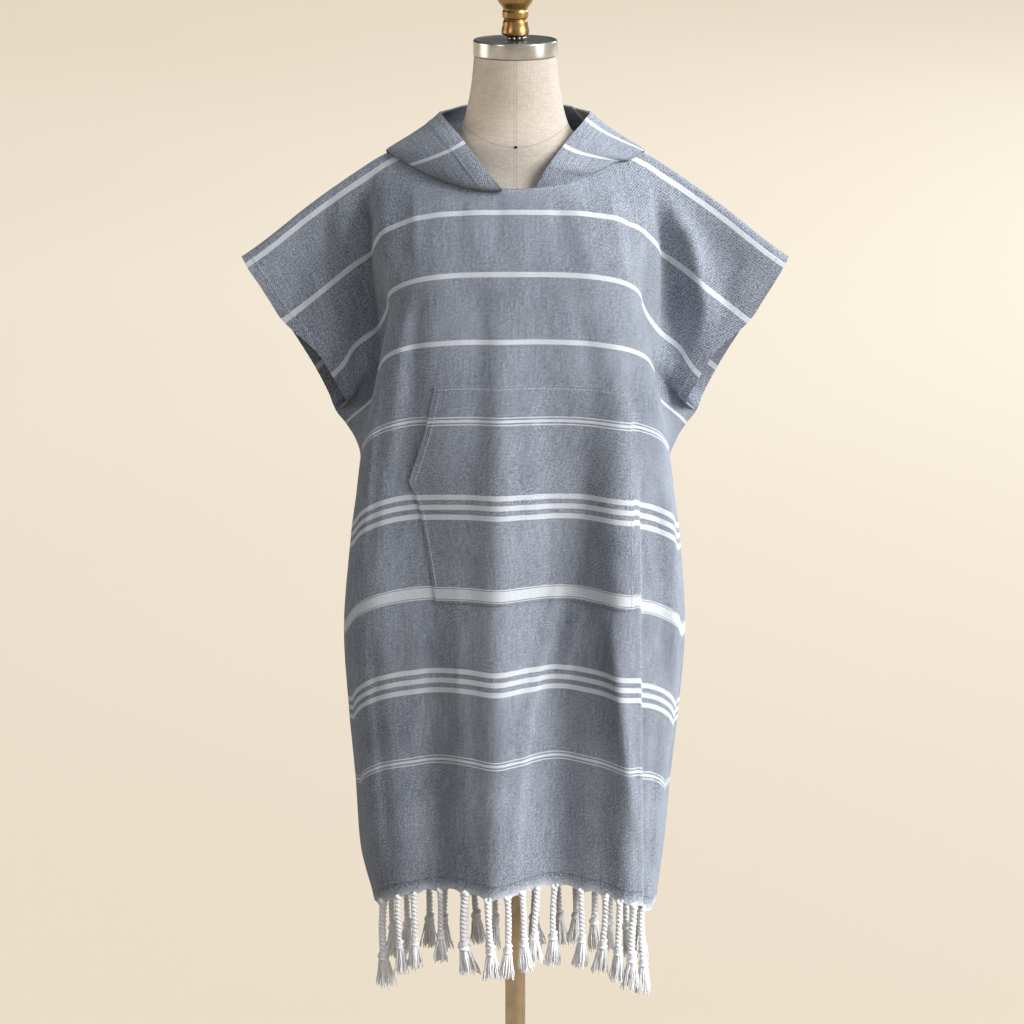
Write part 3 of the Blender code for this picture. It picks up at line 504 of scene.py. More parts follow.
@dataclass(frozen=True)
class Towelling:
    """Cotton flat-weave in a 2/2 twill: grey-blue warp with a white weft that shows as
    fine specks, white bands where the weft lies on top, matt with a little fuzz."""

    layout: Layout
    warp: str = "606876"
    weft: str = "B8BFCC"
    band: str = "E4E9F0"
    band_shadow: str = "A0A7B2"
    band_cover: float = 0.62
    hem_thread: str = "4A4E58"
    speck_mm: float = 2.2   # yarns are 0.5 mm apart, drawn four times as coarse to show
    twill_mm: float = 3.2   # twill ribs are 1.1 mm apart, drawn three times as coarse
    slubs_per_m: float = 90.0
    streaks_per_m: float = 110.0
    clouds_per_m: float = 14.0
    rib_weight: float = 0.08
    slub_weight: float = 0.30
    streak_weight: float = 0.30
    cloud_weight: float = 0.20
    all_warp: float = 0.72
    all_weft: float = 1.12
    wander: float = 0.0008
    hem: float = 0.9330
    hem_thread_half: float = 0.0007
    hem_thread_cover: float = 0.4
    fray_wander: float = 0.004
    fray: tuple[float, float] = (0.005, 0.014)   # start and end below the hem line
    fray_cover: float = 0.72
    speck_turn: float = 0.7
    band_rise: float = 0.3
    bump: tuple[float, float] = (0.55, 0.0007)

    def material(self) -> bpy.types.Material:
        """The woven material on the piece's UV map, u across and v down in metres.

        Returns:
            The material.
        """
        made, tree, shader = blank(
            f"cotton twill towelling {self.layout.value}", Roughness=0.92,
            Sheen_Weight=0.18, Sheen_Roughness=0.45, Specular_IOR_Level=0.25)
        flat = add_node(tree, "ShaderNodeUVMap", uv_map="UVMap").outputs[0]
        split = add_node(tree, "ShaderNodeSeparateXYZ", {0: flat})
        across, down = split.outputs[0], split.outputs[1]
        speck, slub, streak, cloud = (
            grain(tree, flat, scale, (*stretch, 1.0), detail, turn, 0.6)
            for scale, stretch, detail, turn in (
                (1000.0 / self.speck_mm, (1.0, 1.25), 2.0, self.speck_turn),
                (self.slubs_per_m, (1.0, 5.0), 3.0, 0.0),
                (self.streaks_per_m, (3.0, 0.25), 3.0, 0.0),
                (self.clouds_per_m, (1.0, 0.8), 2.0, 0.0)))
        slant = math_node(tree, "ADD", across, down)
        turns = math_node(tree, "MULTIPLY", slant, 2000.0 * math.pi / self.twill_mm)
        rib = math_node(tree, "SINE", turns)
        weave = speck
        for part, weight in ((rib, self.rib_weight), (slub, self.slub_weight),
                             (streak, self.streak_weight), (cloud, self.cloud_weight)):
            weave = math_node(tree, "MULTIPLY_ADD", part, weight, weave)
        share = ranged(tree, weave, self.all_warp, self.all_weft)
        base = mix_colour(tree, share, srgb(self.warp), srgb(self.weft))
        level = math_node(tree, "MULTIPLY_ADD", slub, self.wander, down)
        level = math_node(tree, "SUBTRACT", level, 0.5 * self.wander)
        lines: bpy.types.NodeSocket | float = 0.0
        for middle, width in STRIPES[self.layout]:
            line = math_node(tree, "COMPARE", level, middle, 0.5 * width)
            lines = math_node(tree, "ADD", lines, line)
        band = mix_colour(tree, share, srgb(self.band_shadow), srgb(self.band))
        band = mix_colour(tree, self.band_cover, band, srgb(self.band))
        colour = mix_colour(tree, lines, base, band)
        if self.layout is Layout.PANEL:
            colour = self.hemmed(tree, colour, speck, down, level)
        height = math_node(tree, "MULTIPLY_ADD", lines, self.band_rise, weave)
        dress(tree, shader, colour, height, *self.bump)
        return made

    def hemmed(self, tree: bpy.types.NodeTree, colour: bpy.types.NodeSocket,
               speck: bpy.types.NodeSocket, down: bpy.types.NodeSocket,
               level: bpy.types.NodeSocket) -> bpy.types.NodeSocket:
        """The colour with the dark gathering thread and the pale frayed edge below it.

        Args:
            tree: the material's nodes.
            colour: the colour so far.
            speck: the fine noise.
            down: distance down the cloth.
            level: the same, wandering a little.

        Returns:
            The new colour.
        """
        frayed = math_node(tree, "MULTIPLY_ADD", speck, self.fray_wander, down)
        edge = ranged(tree, frayed, *(self.hem + below for below in self.fray),
                      high=self.fray_cover)
        colour = mix_colour(tree, edge, colour, srgb(self.band))
        thread = math_node(tree, "COMPARE", level, self.hem, self.hem_thread_half)
        cover = math_node(tree, "MULTIPLY", thread, self.hem_thread_cover)
        return mix_colour(tree, cover, colour, srgb(self.hem_thread))


@dataclass(frozen=True)
class Cotton:
    """Undyed cotton yarn, twisted and brushed out: white and matt, with fine streaks."""

    name: str
    colour: str = "FCFCFD"
    dim: str = "F0F1F4"
    fibre_mm: float = 0.9
    drawn_out: float = 0.35
    all_dim: float = 0.3
    all_white: float = 0.6
    bump: tuple[float, float] = (0.3, 0.0004)

    def material(self) -> bpy.types.Material:
        """Streaks along the yarn in Object coordinates.

        Returns:
            The material.
        """
        made, tree, shader = blank(self.name, Roughness=0.9, Sheen_Weight=0.25,
                                   Sheen_Roughness=0.4, Specular_IOR_Level=0.3)
        streak = grain(tree, object_place(tree), 1000.0 / self.fibre_mm,
                       (1.0, 1.0, self.drawn_out))
        colour = mix_colour(tree, ranged(tree, streak, self.all_dim, self.all_white),
                            srgb(self.dim), srgb(self.colour))
        dress(tree, shader, colour, streak, *self.bump)
        return made


@dataclass(frozen=True)
class Linen:
    """Natural linen in plain weave, stretched over the torso: warm pale threads with
    slubs, a welted seam down the middle and a seam round the foot of the neck."""

    light: str = "CAC1B6"
    dark: str = "B6ADA0"
    seam: str = "8E8170"
    thread_mm: float = 1.3   # threads are 0.7 mm apart, drawn twice as coarse
    drawn_out: float = 0.12
    all_dark: float = 0.7
    all_light: float = 1.25
    seam_cover: float = 0.6
    seam_height: float = -1.5
    bump: tuple[float, float] = (0.35, 0.0005)
    welt_off: float = 0.0016
    welt_half: float = 0.00035
    neck_seam_z: float = 1.3855
    neck_seam_rise: float = 4.9
    neck_seam_half: float = 0.0005

    def material(self) -> bpy.types.Material:
        """Weave and seams in Object coordinates.

        Returns:
            The material.
        """
        made, tree, shader = blank("natural linen cover", Roughness=0.88,
                                   Sheen_Weight=0.12, Specular_IOR_Level=0.25)
        place = object_place(tree)
        x, y, z = add_node(tree, "ShaderNodeSeparateXYZ", {0: place}).outputs
        long = self.drawn_out
        upright, level = (grain(tree, place, 1000.0 / self.thread_mm, stretch, 1.5)
                          for stretch in ((1.0, 1.0, long), (long, long, 1.0)))
        weave = math_node(tree, "ADD", upright, level)
        colour = mix_colour(tree, ranged(tree, weave, self.all_dark, self.all_light),
                            srgb(self.dark), srgb(self.light))
        beside = math_node(tree, "COMPARE", math_node(tree, "ABSOLUTE", x), self.welt_off,
                           self.welt_half)
        middle = math_node(tree, "MULTIPLY", beside, math_node(tree, "LESS_THAN", y, 0.0))
        bend = math_node(tree, "MULTIPLY", math_node(tree, "MULTIPLY", x, x),
                         self.neck_seam_rise)
        neck = math_node(tree, "ADD", bend, self.neck_seam_z)
        around = math_node(tree, "COMPARE", z, neck, self.neck_seam_half)
        seams = math_node(tree, "MAXIMUM", middle, around)
        cover = math_node(tree, "MULTIPLY", seams, self.seam_cover)
        colour = mix_colour(tree, cover, colour, srgb(self.seam))
        height = math_node(tree, "MULTIPLY_ADD", seams, self.seam_height, weave)
        dress(tree, shader, colour, height, *self.bump)
        return made


@dataclass(frozen=True)
class Metal:
    """A metal with fine marks of its making drawn out along one way."""

    name: str
    light: str
    dark: str
    roughness: float
    spread: float = 0.06
    marks_mm: float = 1.2
    stretch: tuple[float, float, float] = (1.0, 1.0, 0.05)
    patches_per_m: float = 60.0
    patch_weight: float = 0.7
    mark_weight: float = 0.5
    all_dark: float = 0.35
    all_light: float = 0.85
    bump: tuple[float, float] = (0.3, 0.00005)

    def material(self) -> bpy.types.Material:
        """Streaks that vary the colour and the roughness a little.

        Returns:
            The material.
        """
        made, tree, shader = blank(self.name, Metallic=1.0)
        place = object_place(tree)
        marks = grain(tree, place, 1000.0 / self.marks_mm, self.stretch, 3.0)
        patches = grain(tree, place, self.patches_per_m, detail=3.0)
        both = math_node(tree, "MULTIPLY_ADD", patches, self.patch_weight,
                         math_node(tree, "MULTIPLY", marks, self.mark_weight))
        colour = mix_colour(tree, ranged(tree, both, self.all_dark, self.all_light),
                            srgb(self.dark), srgb(self.light))
        rough = ranged(tree, marks, 0.0, 1.0, self.roughness - self.spread,
                       self.roughness + self.spread)
        tree.links.new(rough, shader.inputs["Roughness"])
        dress(tree, shader, colour, marks, *self.bump)
        return made


# How the panels hang


class Face(Enum):
    """Front or back panel."""

    FRONT = "front"
    BACK = "back"

    @property
    def outward(self) -> float:
        """Sign of Y on this side."""
        return -1.0 if self is Face.FRONT else 1.0


@dataclass(frozen=True)
class Fold:
    """Soft fold that runs down to the hem, a ridge for a positive height."""

    across_top: float
    across_hem: float
    start: float
    full: float
    half_width: float
    height: float
    drop: float

    def across(self, down: Array) -> Array:
        """Place across of the fold as it drifts from its start to the hem."""
        share = np.clip((down - self.start) / (CLOTH_LENGTH - self.start), 0.0, 1.0)
        return self.across_top + (self.across_hem - self.across_top) * share


@dataclass(frozen=True)
class Crease:
    """Soft crease from one place on the cloth to another, each a reach and a distance
    down; widen is how many times as broad it is at its end."""

    reach0: float
    down0: float
    reach1: float
    down1: float
    half_width: float
    height: float
    widen: float = 1.0

    def relief(self, flat: Array, down: Array, start: float, stop: float) -> Array:
        """Height times a bell across the line times a soft fall past both ends.

        Args:
            flat: place of each point across the flat cloth.
            down: its distance down.
            start: place across of the crease's start.
            stop: place across of its end.

        Returns:
            How far the crease lifts each point.
        """
        run, fall = stop - start, self.down1 - self.down0
        length = math.hypot(run, fall)
        t = ((flat - start) * run + (down - self.down0) * fall) / length ** 2
        aside = ((flat - start) * fall - (down - self.down0) * run) / length
        width = self.half_width * (1.0 + (self.widen - 1.0) * np.clip(t, 0.0, 1.0))
        ends = ease(t, -0.15, 0.25) * ease(t, 1.15, 0.75)
        return self.height * np.exp(-(aside / width) ** 2) * ends


SECTIONS = Table(
    ("down", "mid_y", "mid_z", "crest_x", "crest_y", "crest_z", "crest_turn",
     "edge_x", "edge_y", "edge_z", "edge_turn", "shift"),
    (
        (0.000, -0.0002, 1.390, 0.180, -0.0002, 1.357, 0, 0.339, -0.0002, 1.240, 0, 0.000),
        (0.005, -0.0050, 1.389, 0.180, -0.0044, 1.356, 0, 0.338, -0.0040, 1.239, 0, 0.000),
        (0.016, -0.0160, 1.383, 0.178, -0.0120, 1.344, 5, 0.333, -0.0095, 1.230, 0, 0.000),
        (0.050, -0.0660, 1.352, 0.170, -0.0330, 1.315, 25, 0.315, -0.0140, 1.202, 0, 0.001),
        (0.066, -0.0880, 1.338, 0.167, -0.0410, 1.302, 33, 0.306, -0.0160, 1.188, 0, 0.001),
        (0.096, -0.0990, 1.310, 0.162, -0.0560, 1.275, 50, 0.290, -0.0190, 1.162, 0, 0.001),
        (0.172, -0.1150, 1.236, 0.153, -0.0720, 1.201, 82, 0.250, -0.0240, 1.096, 0, 0.001),
        (0.205, -0.1185, 1.203, 0.156, -0.0740, 1.165, 92, 0.233, -0.0180, 1.064, 5, 0.001),
        (0.222, -0.1195, 1.187, 0.160, -0.0750, 1.147, 95, 0.225, -0.0010, 1.047, 30, 0.001),
        (0.256, -0.1220, 1.154, 0.167, -0.0770, 1.109, 98, 0.212, -0.0002, 1.030, 60, 0.001),
        (0.300, -0.1260, 1.111, 0.177, -0.0780, 1.063, 96, 0.200, -0.0002, 1.010, 85, 0.001),
        (0.352, -0.1280, 1.059, 0.186, -0.0770, 1.013, 92, 0.193, -0.0002, 0.986, 90, 0.000),
        (0.459, -0.1300, 0.952, 0.198, -0.0740, 0.904, 88, 0.2055, -0.0002, 0.888, 90, 0.000),
        (0.568, -0.1300, 0.843, 0.206, -0.0720, 0.788, 88, 0.214, -0.0002, 0.770, 90, -0.001),
        (0.682, -0.1270, 0.731, 0.199, -0.0700, 0.681, 88, 0.2075, -0.0002, 0.667, 90, -0.002),
        (0.784, -0.1220, 0.628, 0.190, -0.0680, 0.588, 88, 0.1985, -0.0002, 0.575, 90, -0.003),
        (0.870, -0.1180, 0.541, 0.184, -0.0660, 0.503, 88, 0.192, -0.0002, 0.491, 90, -0.004),
        (0.945, -0.1130, 0.460, 0.171, -0.0640, 0.430, 88, 0.1785, -0.0002, 0.418, 90, 0.000),
    ))

BACK_SECTIONS = Table(
    ("down", "mid_y", "mid_z", "crest_y", "crest_z"),
    (
        (0.000, 0.0002, 1.390, 0.0002, 1.357), (0.005, 0.0060, 1.389, 0.0044, 1.356),
        (0.016, 0.0210, 1.383, 0.0130, 1.344), (0.050, 0.0660, 1.360, 0.0380, 1.316),
        (0.066, 0.0800, 1.347, 0.0460, 1.303), (0.096, 0.0950, 1.320, 0.0600, 1.277),
        (0.172, 0.1120, 1.240, 0.0740, 1.201), (0.222, 0.1160, 1.190, 0.0760, 1.147),
        (0.300, 0.1150, 1.112, 0.0760, 1.063), (0.352, 0.1130, 1.060, 0.0740, 1.013),
        (0.459, 0.1100, 0.953, 0.0720, 0.904), (0.568, 0.1120, 0.844, 0.0710, 0.788),
        (0.682, 0.1130, 0.729, 0.0700, 0.681), (0.784, 0.1110, 0.625, 0.0680, 0.588),
        (0.870, 0.1080, 0.525, 0.0660, 0.500), (0.945, 0.1040, 0.436, 0.0640, 0.419),
    ))

FRONT_FOLDS = tuple(Fold(*row) for row in (
    (-0.018, -0.026, 0.12, 0.46, 0.029, 0.013, 0.007),
    (0.060, 0.050, 0.26, 0.66, 0.034, -0.016, -0.005),
    (0.116, 0.143, 0.16, 0.56, 0.024, 0.014, 0.006),
    (-0.130, -0.128, 0.30, 0.60, 0.026, 0.005, 0.002),
    (-0.148, -0.108, 0.12, 0.44, 0.040, -0.014, -0.002),
))
BACK_FOLDS = tuple(Fold(*row) for row in (
    (-0.125, -0.130, 0.24, 0.80, 0.030, 0.008, 0.003),
    (-0.060, -0.075, 0.30, 0.86, 0.030, -0.009, -0.005),
    (0.000, -0.010, 0.22, 0.78, 0.036, 0.008, 0.006),
    (0.075, 0.060, 0.34, 0.88, 0.028, -0.009, -0.004),
    (0.130, 0.125, 0.20, 0.82, 0.032, 0.009, 0.005),
))
# Sharp crease left of the middle, from the pocket's foot to the hem
SHARP = Fold(-0.070, -0.0725, 0.46, 0.76, 0.031, 0.0100, -0.003)

# Main creases of each panel: deep tucks beside the armholes with the sleeves
# bulging next to them, drag lines of chest and neck, and narrow folds of the skirt
FRONT_CREASES = tuple(Crease(*row) for row in (
    (1.03, 0.046, 1.58, 0.180, 0.0064, -0.0190, 3.5),
    (1.13, 0.048, 1.80, 0.132, 0.0135, 0.0145, 1.65),
    (-1.06, 0.034, -1.52, 0.190, 0.010, -0.0200, 2.4),
    (-1.56, 0.070, -1.80, 0.190, 0.022, 0.0060, 1.3),
    (-1.20, 0.010, -1.62, 0.110, 0.010, -0.0030, 1.6),
    (1.62, 0.040, 1.86, 0.130, 0.012, -0.0020, 1.5),
    (-0.99, 0.055, -0.95, 0.180, 0.017, 0.0070, 1.3),
    (-0.70, 0.060, -0.66, 0.150, 0.008, 0.0016),
    (-0.60, 0.200, -0.52, 0.360, 0.009, -0.0030),
    (-0.70, 0.190, -0.62, 0.400, 0.009, 0.0020),
    (-0.36, 0.070, -0.34, 0.200, 0.010, -0.0016, 1.5),
    (-0.22, 0.180, -0.17, 0.420, 0.012, -0.0024),
    (-0.10, 0.078, -0.14, 0.150, 0.006, -0.0012, 1.6),
    (0.05, 0.100, 0.03, 0.240, 0.012, 0.0013),
    (0.24, 0.072, 0.30, 0.150, 0.007, -0.0015, 1.5),
    (0.38, 0.070, 0.46, 0.190, 0.009, 0.0016, 1.3),
    (0.62, 0.050, 0.74, 0.170, 0.008, 0.0022, 1.4),
    (0.76, 0.048, 0.84, 0.160, 0.008, -0.0024, 1.3),
    (0.36, 0.200, 0.40, 0.340, 0.010, -0.0018),
    (0.56, 0.240, 0.57, 0.560, 0.010, 0.0026),
    (0.08, 0.300, 0.09, 0.560, 0.013, 0.0022),
    (0.34, 0.380, 0.29, 0.600, 0.013, -0.0030),
    (0.20, 0.560, 0.06, 0.745, 0.0065, 0.0034),
    (0.07, 0.730, 0.00, 0.925, 0.0065, 0.0032),
    (0.30, 0.585, 0.22, 0.700, 0.007, 0.0028),
    (0.44, 0.600, 0.66, 0.860, 0.0075, 0.0042),
    (-0.44, 0.560, -0.50, 0.790, 0.011, 0.0020),
    (-0.235, 0.700, -0.245, 0.930, 0.006, 0.0013),
    (-0.36, 0.780, -0.40, 0.935, 0.009, -0.0018),
    (0.74, 0.430, 0.80, 0.660, 0.008, -0.0034),
    (0.78, 0.700, 0.84, 0.920, 0.008, -0.0030),
    (0.88, 0.400, 0.90, 0.660, 0.014, 0.0045),
    (-0.76, 0.300, -0.74, 0.520, 0.009, -0.0022),
    (-0.72, 0.600, -0.70, 0.900, 0.009, -0.0024),
))
BACK_CREASES = tuple(Crease(*row) for row in (
    (1.10, 0.020, 1.40, 0.240, 0.012, -0.0100, 1.7),
    (1.34, 0.020, 1.72, 0.160, 0.024, 0.0070, 1.2),
    (-1.10, 0.020, -1.42, 0.240, 0.012, -0.0100, 1.7),
    (-1.36, 0.018, -1.70, 0.150, 0.024, 0.0070, 1.2),
    (0.30, 0.200, 0.62, 0.090, 0.012, 0.0028),
    (-0.32, 0.200, -0.66, 0.085, 0.012, 0.0028),
    (0.10, 0.190, 0.16, 0.400, 0.011, -0.0024),
    (-0.22, 0.220, -0.20, 0.460, 0.012, 0.0024),
    (0.50, 0.230, 0.46, 0.520, 0.010, -0.0026),
    (-0.56, 0.210, -0.54, 0.500, 0.010, -0.0026),
    (0.74, 0.260, 0.76, 0.620, 0.009, -0.0030),
    (-0.78, 0.300, -0.76, 0.700, 0.009, -0.0028),
    (0.22, 0.560, 0.30, 0.930, 0.007, 0.0026),
    (-0.10, 0.600, -0.16, 0.930, 0.007, 0.0022),
    (-0.46, 0.620, -0.40, 0.930, 0.008, 0.0024),
    (0.56, 0.660, 0.62, 0.930, 0.008, 0.0026),
))


@dataclass(frozen=True)
class Drape:
    """How one panel hangs: its sections, its long folds, its creases and, on the front,
    the place beside the pocket where the cloth laps over itself."""

    face: Face
    folds: tuple[Fold, ...]
    creases: tuple[Crease, ...]
    centre_speed: float = 1.15
    crest_speed: float = 0.80
    tuck_speed: float = 1.80
    edge_speed: float = 1.00
    crest_fall: float = 1.60
    edge_fall: float = 0.90
    plateau_power: float = 3.0
    neck_half_width: float = 0.150
    neck_round: float = 2.6
    squeezed: float = 0.172
    plateau_ends: tuple[float, float] = (0.90, 1.25)
    drop_start: float = 0.42
    sharp_tail: float = 3.0
    pinch: float = 0.0034
    pinch_width: float = 0.0065
    pinch_grows: tuple[float, float] = (0.150, 0.230)
    pinch_fades: tuple[float, float] = (0.500, 0.900)
    cuff_gape: float = 0.022
    gape_grows: tuple[float, float] = (0.085, 0.150)
    gape_fades: tuple[float, float] = (0.206, 0.226)
    gape_reach: float = 1.50
    gape_forward: float = 0.4
    lap_down: tuple[float, ...] = (0.0, 0.45, CLOTH_LENGTH)
    lap_place: tuple[float, ...] = (0.124, 0.152, 0.159)
    lap_grows: tuple[float, float] = (0.40, 0.52)
    lap_reach: float = 0.0036
    lap_step: float = 0.0042
    lap_half: float = 0.007
    lap_drop: float = 0.008
    lap_settle: float = 0.045
    sharp_band: float = 0.010
    halvings: int = 24
    tail_columns: int = 38
    half_columns: int = 46
    lap_columns: int = 19
    sharp_columns: int = 7
    left_columns: int = 26
    middle_columns: int = 44
    right_columns: int = 9

    @property
    def neck_depth(self) -> float:
        """How far down the neckline is cut in the middle."""
        return 0.066 if self.face is Face.FRONT else 0.045

    def sizes(self, down: Array) -> dict[str, Array]:
        """Sizes of the section at the given distances down.

        Args:
            down: the distances.

        Returns:
            Each size by its name.
        """
        found = {name: SECTIONS.at(name, down) for name in SECTIONS.names[1:]}
        if self.face is Face.BACK:
            found |= {name: BACK_SECTIONS.at(name, down) for name in BACK_SECTIONS.names[1:]}
            found["edge_y"] = -found["edge_y"]
        return found

    def base(self, reach: Array, s: dict[str, Array]) -> Array:
        """The panel without folds: one cubic from the middle to the crest and one from
        there to the seam, at the angles and speeds of the section.

        Args:
            reach: reach of each point.
            s: sizes of its section.

        Returns:
            The points.
        """
        inward = -self.face.outward
        near = np.clip(np.abs(reach), 0.0, 1.0)
        far = np.clip(np.abs(reach) - 1.0, 0.0, 1.0)
        crest, edge = np.radians(s["crest_turn"]), np.radians(s["edge_turn"])
        span = np.hypot(s["crest_x"], s["crest_y"] - s["mid_y"])
        tail = np.hypot(s["edge_x"] - s["crest_x"], s["edge_y"] - s["crest_y"])
        fall = s["edge_z"] - s["crest_z"]
        x_near = arc(0.0, self.centre_speed * span, s["crest_x"],
                     self.crest_speed * span * np.cos(crest), near)
        y_near = arc(s["mid_y"], 0.0, s["crest_y"],
                     inward * self.crest_speed * span * np.sin(crest), near)
        z_near = s["mid_z"] + (s["crest_z"] - s["mid_z"]) * near ** self.plateau_power
        x_far = arc(s["crest_x"], self.tuck_speed * tail * np.cos(crest), s["edge_x"],
                    self.edge_speed * tail * np.cos(edge), far)
        y_far = arc(s["crest_y"], inward * self.tuck_speed * tail * np.sin(crest),
                    s["edge_y"], inward * self.edge_speed * tail * np.sin(edge), far)
        z_far = arc(s["crest_z"], self.crest_fall * fall, s["edge_z"],
                    self.edge_fall * fall, far)
        outer = np.abs(reach) > 1.0
        return np.stack([np.where(outer, x_far, x_near) * np.sign(reach) + s["shift"],
                         np.where(outer, y_far, y_near),
                         np.where(outer, z_far, z_near)], axis=-1)

    def reach_at(self, across: Array, down: Array) -> Array:
        """Reach of the point of the plateau that lies at a distance across, by halving.

        Args:
            across: place across of each point.
            down: distance down of each point.

        Returns:
            The reach, at most 1 to either side.
        """
        side = np.sign(across)
        low = np.zeros(np.broadcast(across, down).shape)
        high = np.ones_like(low)
        sizes = self.sizes(down + 0.0 * low)
        for _ in range(self.halvings):
            middle = 0.5 * (low + high)
            beyond = side * self.base(side * middle, sizes)[..., 0] > np.abs(across)
            high = np.where(beyond, middle, high)
            low = np.where(beyond, low, middle)
        return side * 0.5 * (low + high)

    def lap_across(self, down: Array) -> Array:
        """Place across of the lap, from the armhole past the pocket to the hem."""
        return np.interp(down, self.lap_down, self.lap_place)

    def smooth(self, reach: Array, down: Array) -> Array:
        """Outer surface of the panel with its long folds, before its creases.

        Args:
            reach: reach of each point.
            down: distance down of each point.

        Returns:
            The points.
        """
        reach, down = np.asarray(reach, float), np.asarray(down, float)
        outward = self.face.outward
        at = self.base(reach, self.sizes(down))
        x = at[..., 0].copy()
        plateau = ease(np.abs(reach), *self.plateau_ends[::-1])
        for fold in self.folds:
            grown = ease(down, fold.start, fold.full) * plateau
            bump = np.exp(-((x - fold.across(down)) / fold.half_width) ** 2) * grown
            at[..., 1] += outward * fold.height * bump
            at[..., 2] -= fold.drop * bump * ease(down, self.drop_start, CLOTH_LENGTH)
        if self.face is Face.BACK:
            return at
        self.crease_sharply(at, x, down, plateau)
        self.lap(at, x, reach, down)
        gape = self.cuff_gape * (
            ease(down, *self.gape_grows) * ease(down, *self.gape_fades[::-1])
            * ease(np.abs(reach), self.gape_reach, 2.0))
        at[..., 0] -= np.sign(reach) * gape
        at[..., 1] += outward * self.gape_forward * gape
        return at

    def crease_sharply(self, at: Array, x: Array, down: Array, plateau: Array) -> None:
        """Raise the sharp crease, steep on its left and long on its right.

        Args:
            at: points of the panel, changed in place.
            x: their places across before any fold.
            down: distance down of each point.
            plateau: 1 on the front of the body, 0 past the crest.
        """
        grown = ease(down, SHARP.start, SHARP.full) * plateau
        aside = (x - SHARP.across(down)) / SHARP.half_width
        ridge = np.exp(np.where(aside < 0.0, aside, -aside / self.sharp_tail)) * grown
        at[..., 1] += self.face.outward * SHARP.height * ridge
        at[..., 2] -= SHARP.drop * ridge * ease(down, SHARP.start, CLOTH_LENGTH)

    def lap(self, at: Array, x: Array, reach: Array, down: Array) -> None:
        """Push the cloth over itself beside the pocket: along, back and down a step.

        Args:
            at: points of the panel, changed in place.
            x: their places across before any fold.
            reach: reach of each point.
            down: distance down of each point.
        """
        grown = ease(down, *self.lap_grows)
        beyond = x - self.lap_across(down)
        phase = np.clip(beyond / self.lap_half, -1.0, 1.0)
        settle = np.exp(-np.clip(np.abs(beyond) - self.lap_half, 0, None) / self.lap_settle)
        at[..., 0] -= self.lap_reach * np.sin(math.pi * phase) * grown
        at[..., 1] -= self.face.outward * self.lap_step * phase * settle * grown
        at[..., 2] -= (self.lap_drop * ease(beyond, -self.lap_half, self.lap_half) * grown
                       * ease(np.abs(reach), 2.0, 1.0))

    def flat(self, reach: Array, down: Array) -> Array:
        """Place across of a reach on the flat cloth, straight from middle to crest to
        seam.

        Args:
            reach: reach of each point.
            down: distance down of each point.

        Returns:
            The place across, in metres.
        """
        s = self.sizes(down)
        span = np.hypot(s["crest_x"], s["crest_y"] - s["mid_y"])
        tail = np.sqrt(sum((s[f"edge_{axis}"] - s[f"crest_{axis}"]) ** 2 for axis in "xyz"))
        run = span * np.clip(np.abs(reach), 0.0, 1.0) + tail * np.clip(
            np.abs(reach) - 1.0, 0.0, 1.0)
        return np.sign(reach) * run

    def relief(self, reach: Array, down: Array) -> Array:
        """Height of all creases and of the pinched crest where the cloth turns back.

        Args:
            reach: reach of each point.
            down: distance down of each point.

        Returns:
            How far each point is lifted.
        """
        flat = self.flat(reach, down)
        total = 0.0 * flat
        for crease in self.creases:
            start, stop = (float(self.flat(np.array(where), np.array(level)))
                           for where, level in ((crease.reach0, crease.down0),
                                                (crease.reach1, crease.down1)))
            total = total + crease.relief(flat, down, start, stop)
        beyond = np.abs(flat) - np.abs(self.flat(np.ones_like(flat), down))
        pinch = self.pinch * ease(down, *self.pinch_grows) * ease(
            down, *self.pinch_fades[::-1])
        total = total + pinch * np.exp(-(beyond / self.pinch_width) ** 2)
        return total * ease(2.0 - np.abs(reach), 0.0, 0.15)

    def outward_at(self, reach: Array, down: Array, surface: Callable[..., Array]) -> Array:
        """Unit normals of a surface of reach and down, pointing out of the garment.

        Args:
            reach: reach of each point.
            down: distance down of each point.
            surface: the surface.

        Returns:
            The unit normals.
        """
        small = 1e-4   # half the step over which the slope is taken
        across = surface(reach + small, down) - surface(reach - small, down)
        below = surface(reach, down + small) - surface(reach, down - small)
        normal = unit(np.cross(below, across))
        return normal * -self.face.outward

    def points(self, reach: Array, down: Array) -> Array:
        """Outer surface of the panel: the smooth one raised by its creases.

        Args:
            reach: reach of each point.
            down: distance down of each point.

        Returns:
            The points.
        """
        reach, down = np.broadcast_arrays(np.asarray(reach, float), np.asarray(down, float))
        normal = self.outward_at(reach, down, self.smooth)
        return self.smooth(reach, down) + normal * self.relief(reach, down)[..., None]

    def lifted(self, reach: Array, down: Array, distance: Array) -> Array:
        """Points of the panel moved out by a distance along its normals.

        Args:
            reach: reach of each point.
            down: distance down of each point.
            distance: how far to move each point.

        Returns:
            The points.
        """
        reach, down = np.broadcast_arrays(np.asarray(reach, float), np.asarray(down, float))
        normal = self.outward_at(reach, down, self.points)
        return self.points(reach, down) + normal * np.asarray(distance)[..., None]

    def neckline(self, across: Array) -> Array:
        """Distance down of the cut neckline at a place across."""
        share = np.clip(np.abs(across) / self.neck_half_width, 0.0, 1.0)
        return self.neck_depth * (1.0 - share ** self.neck_round)

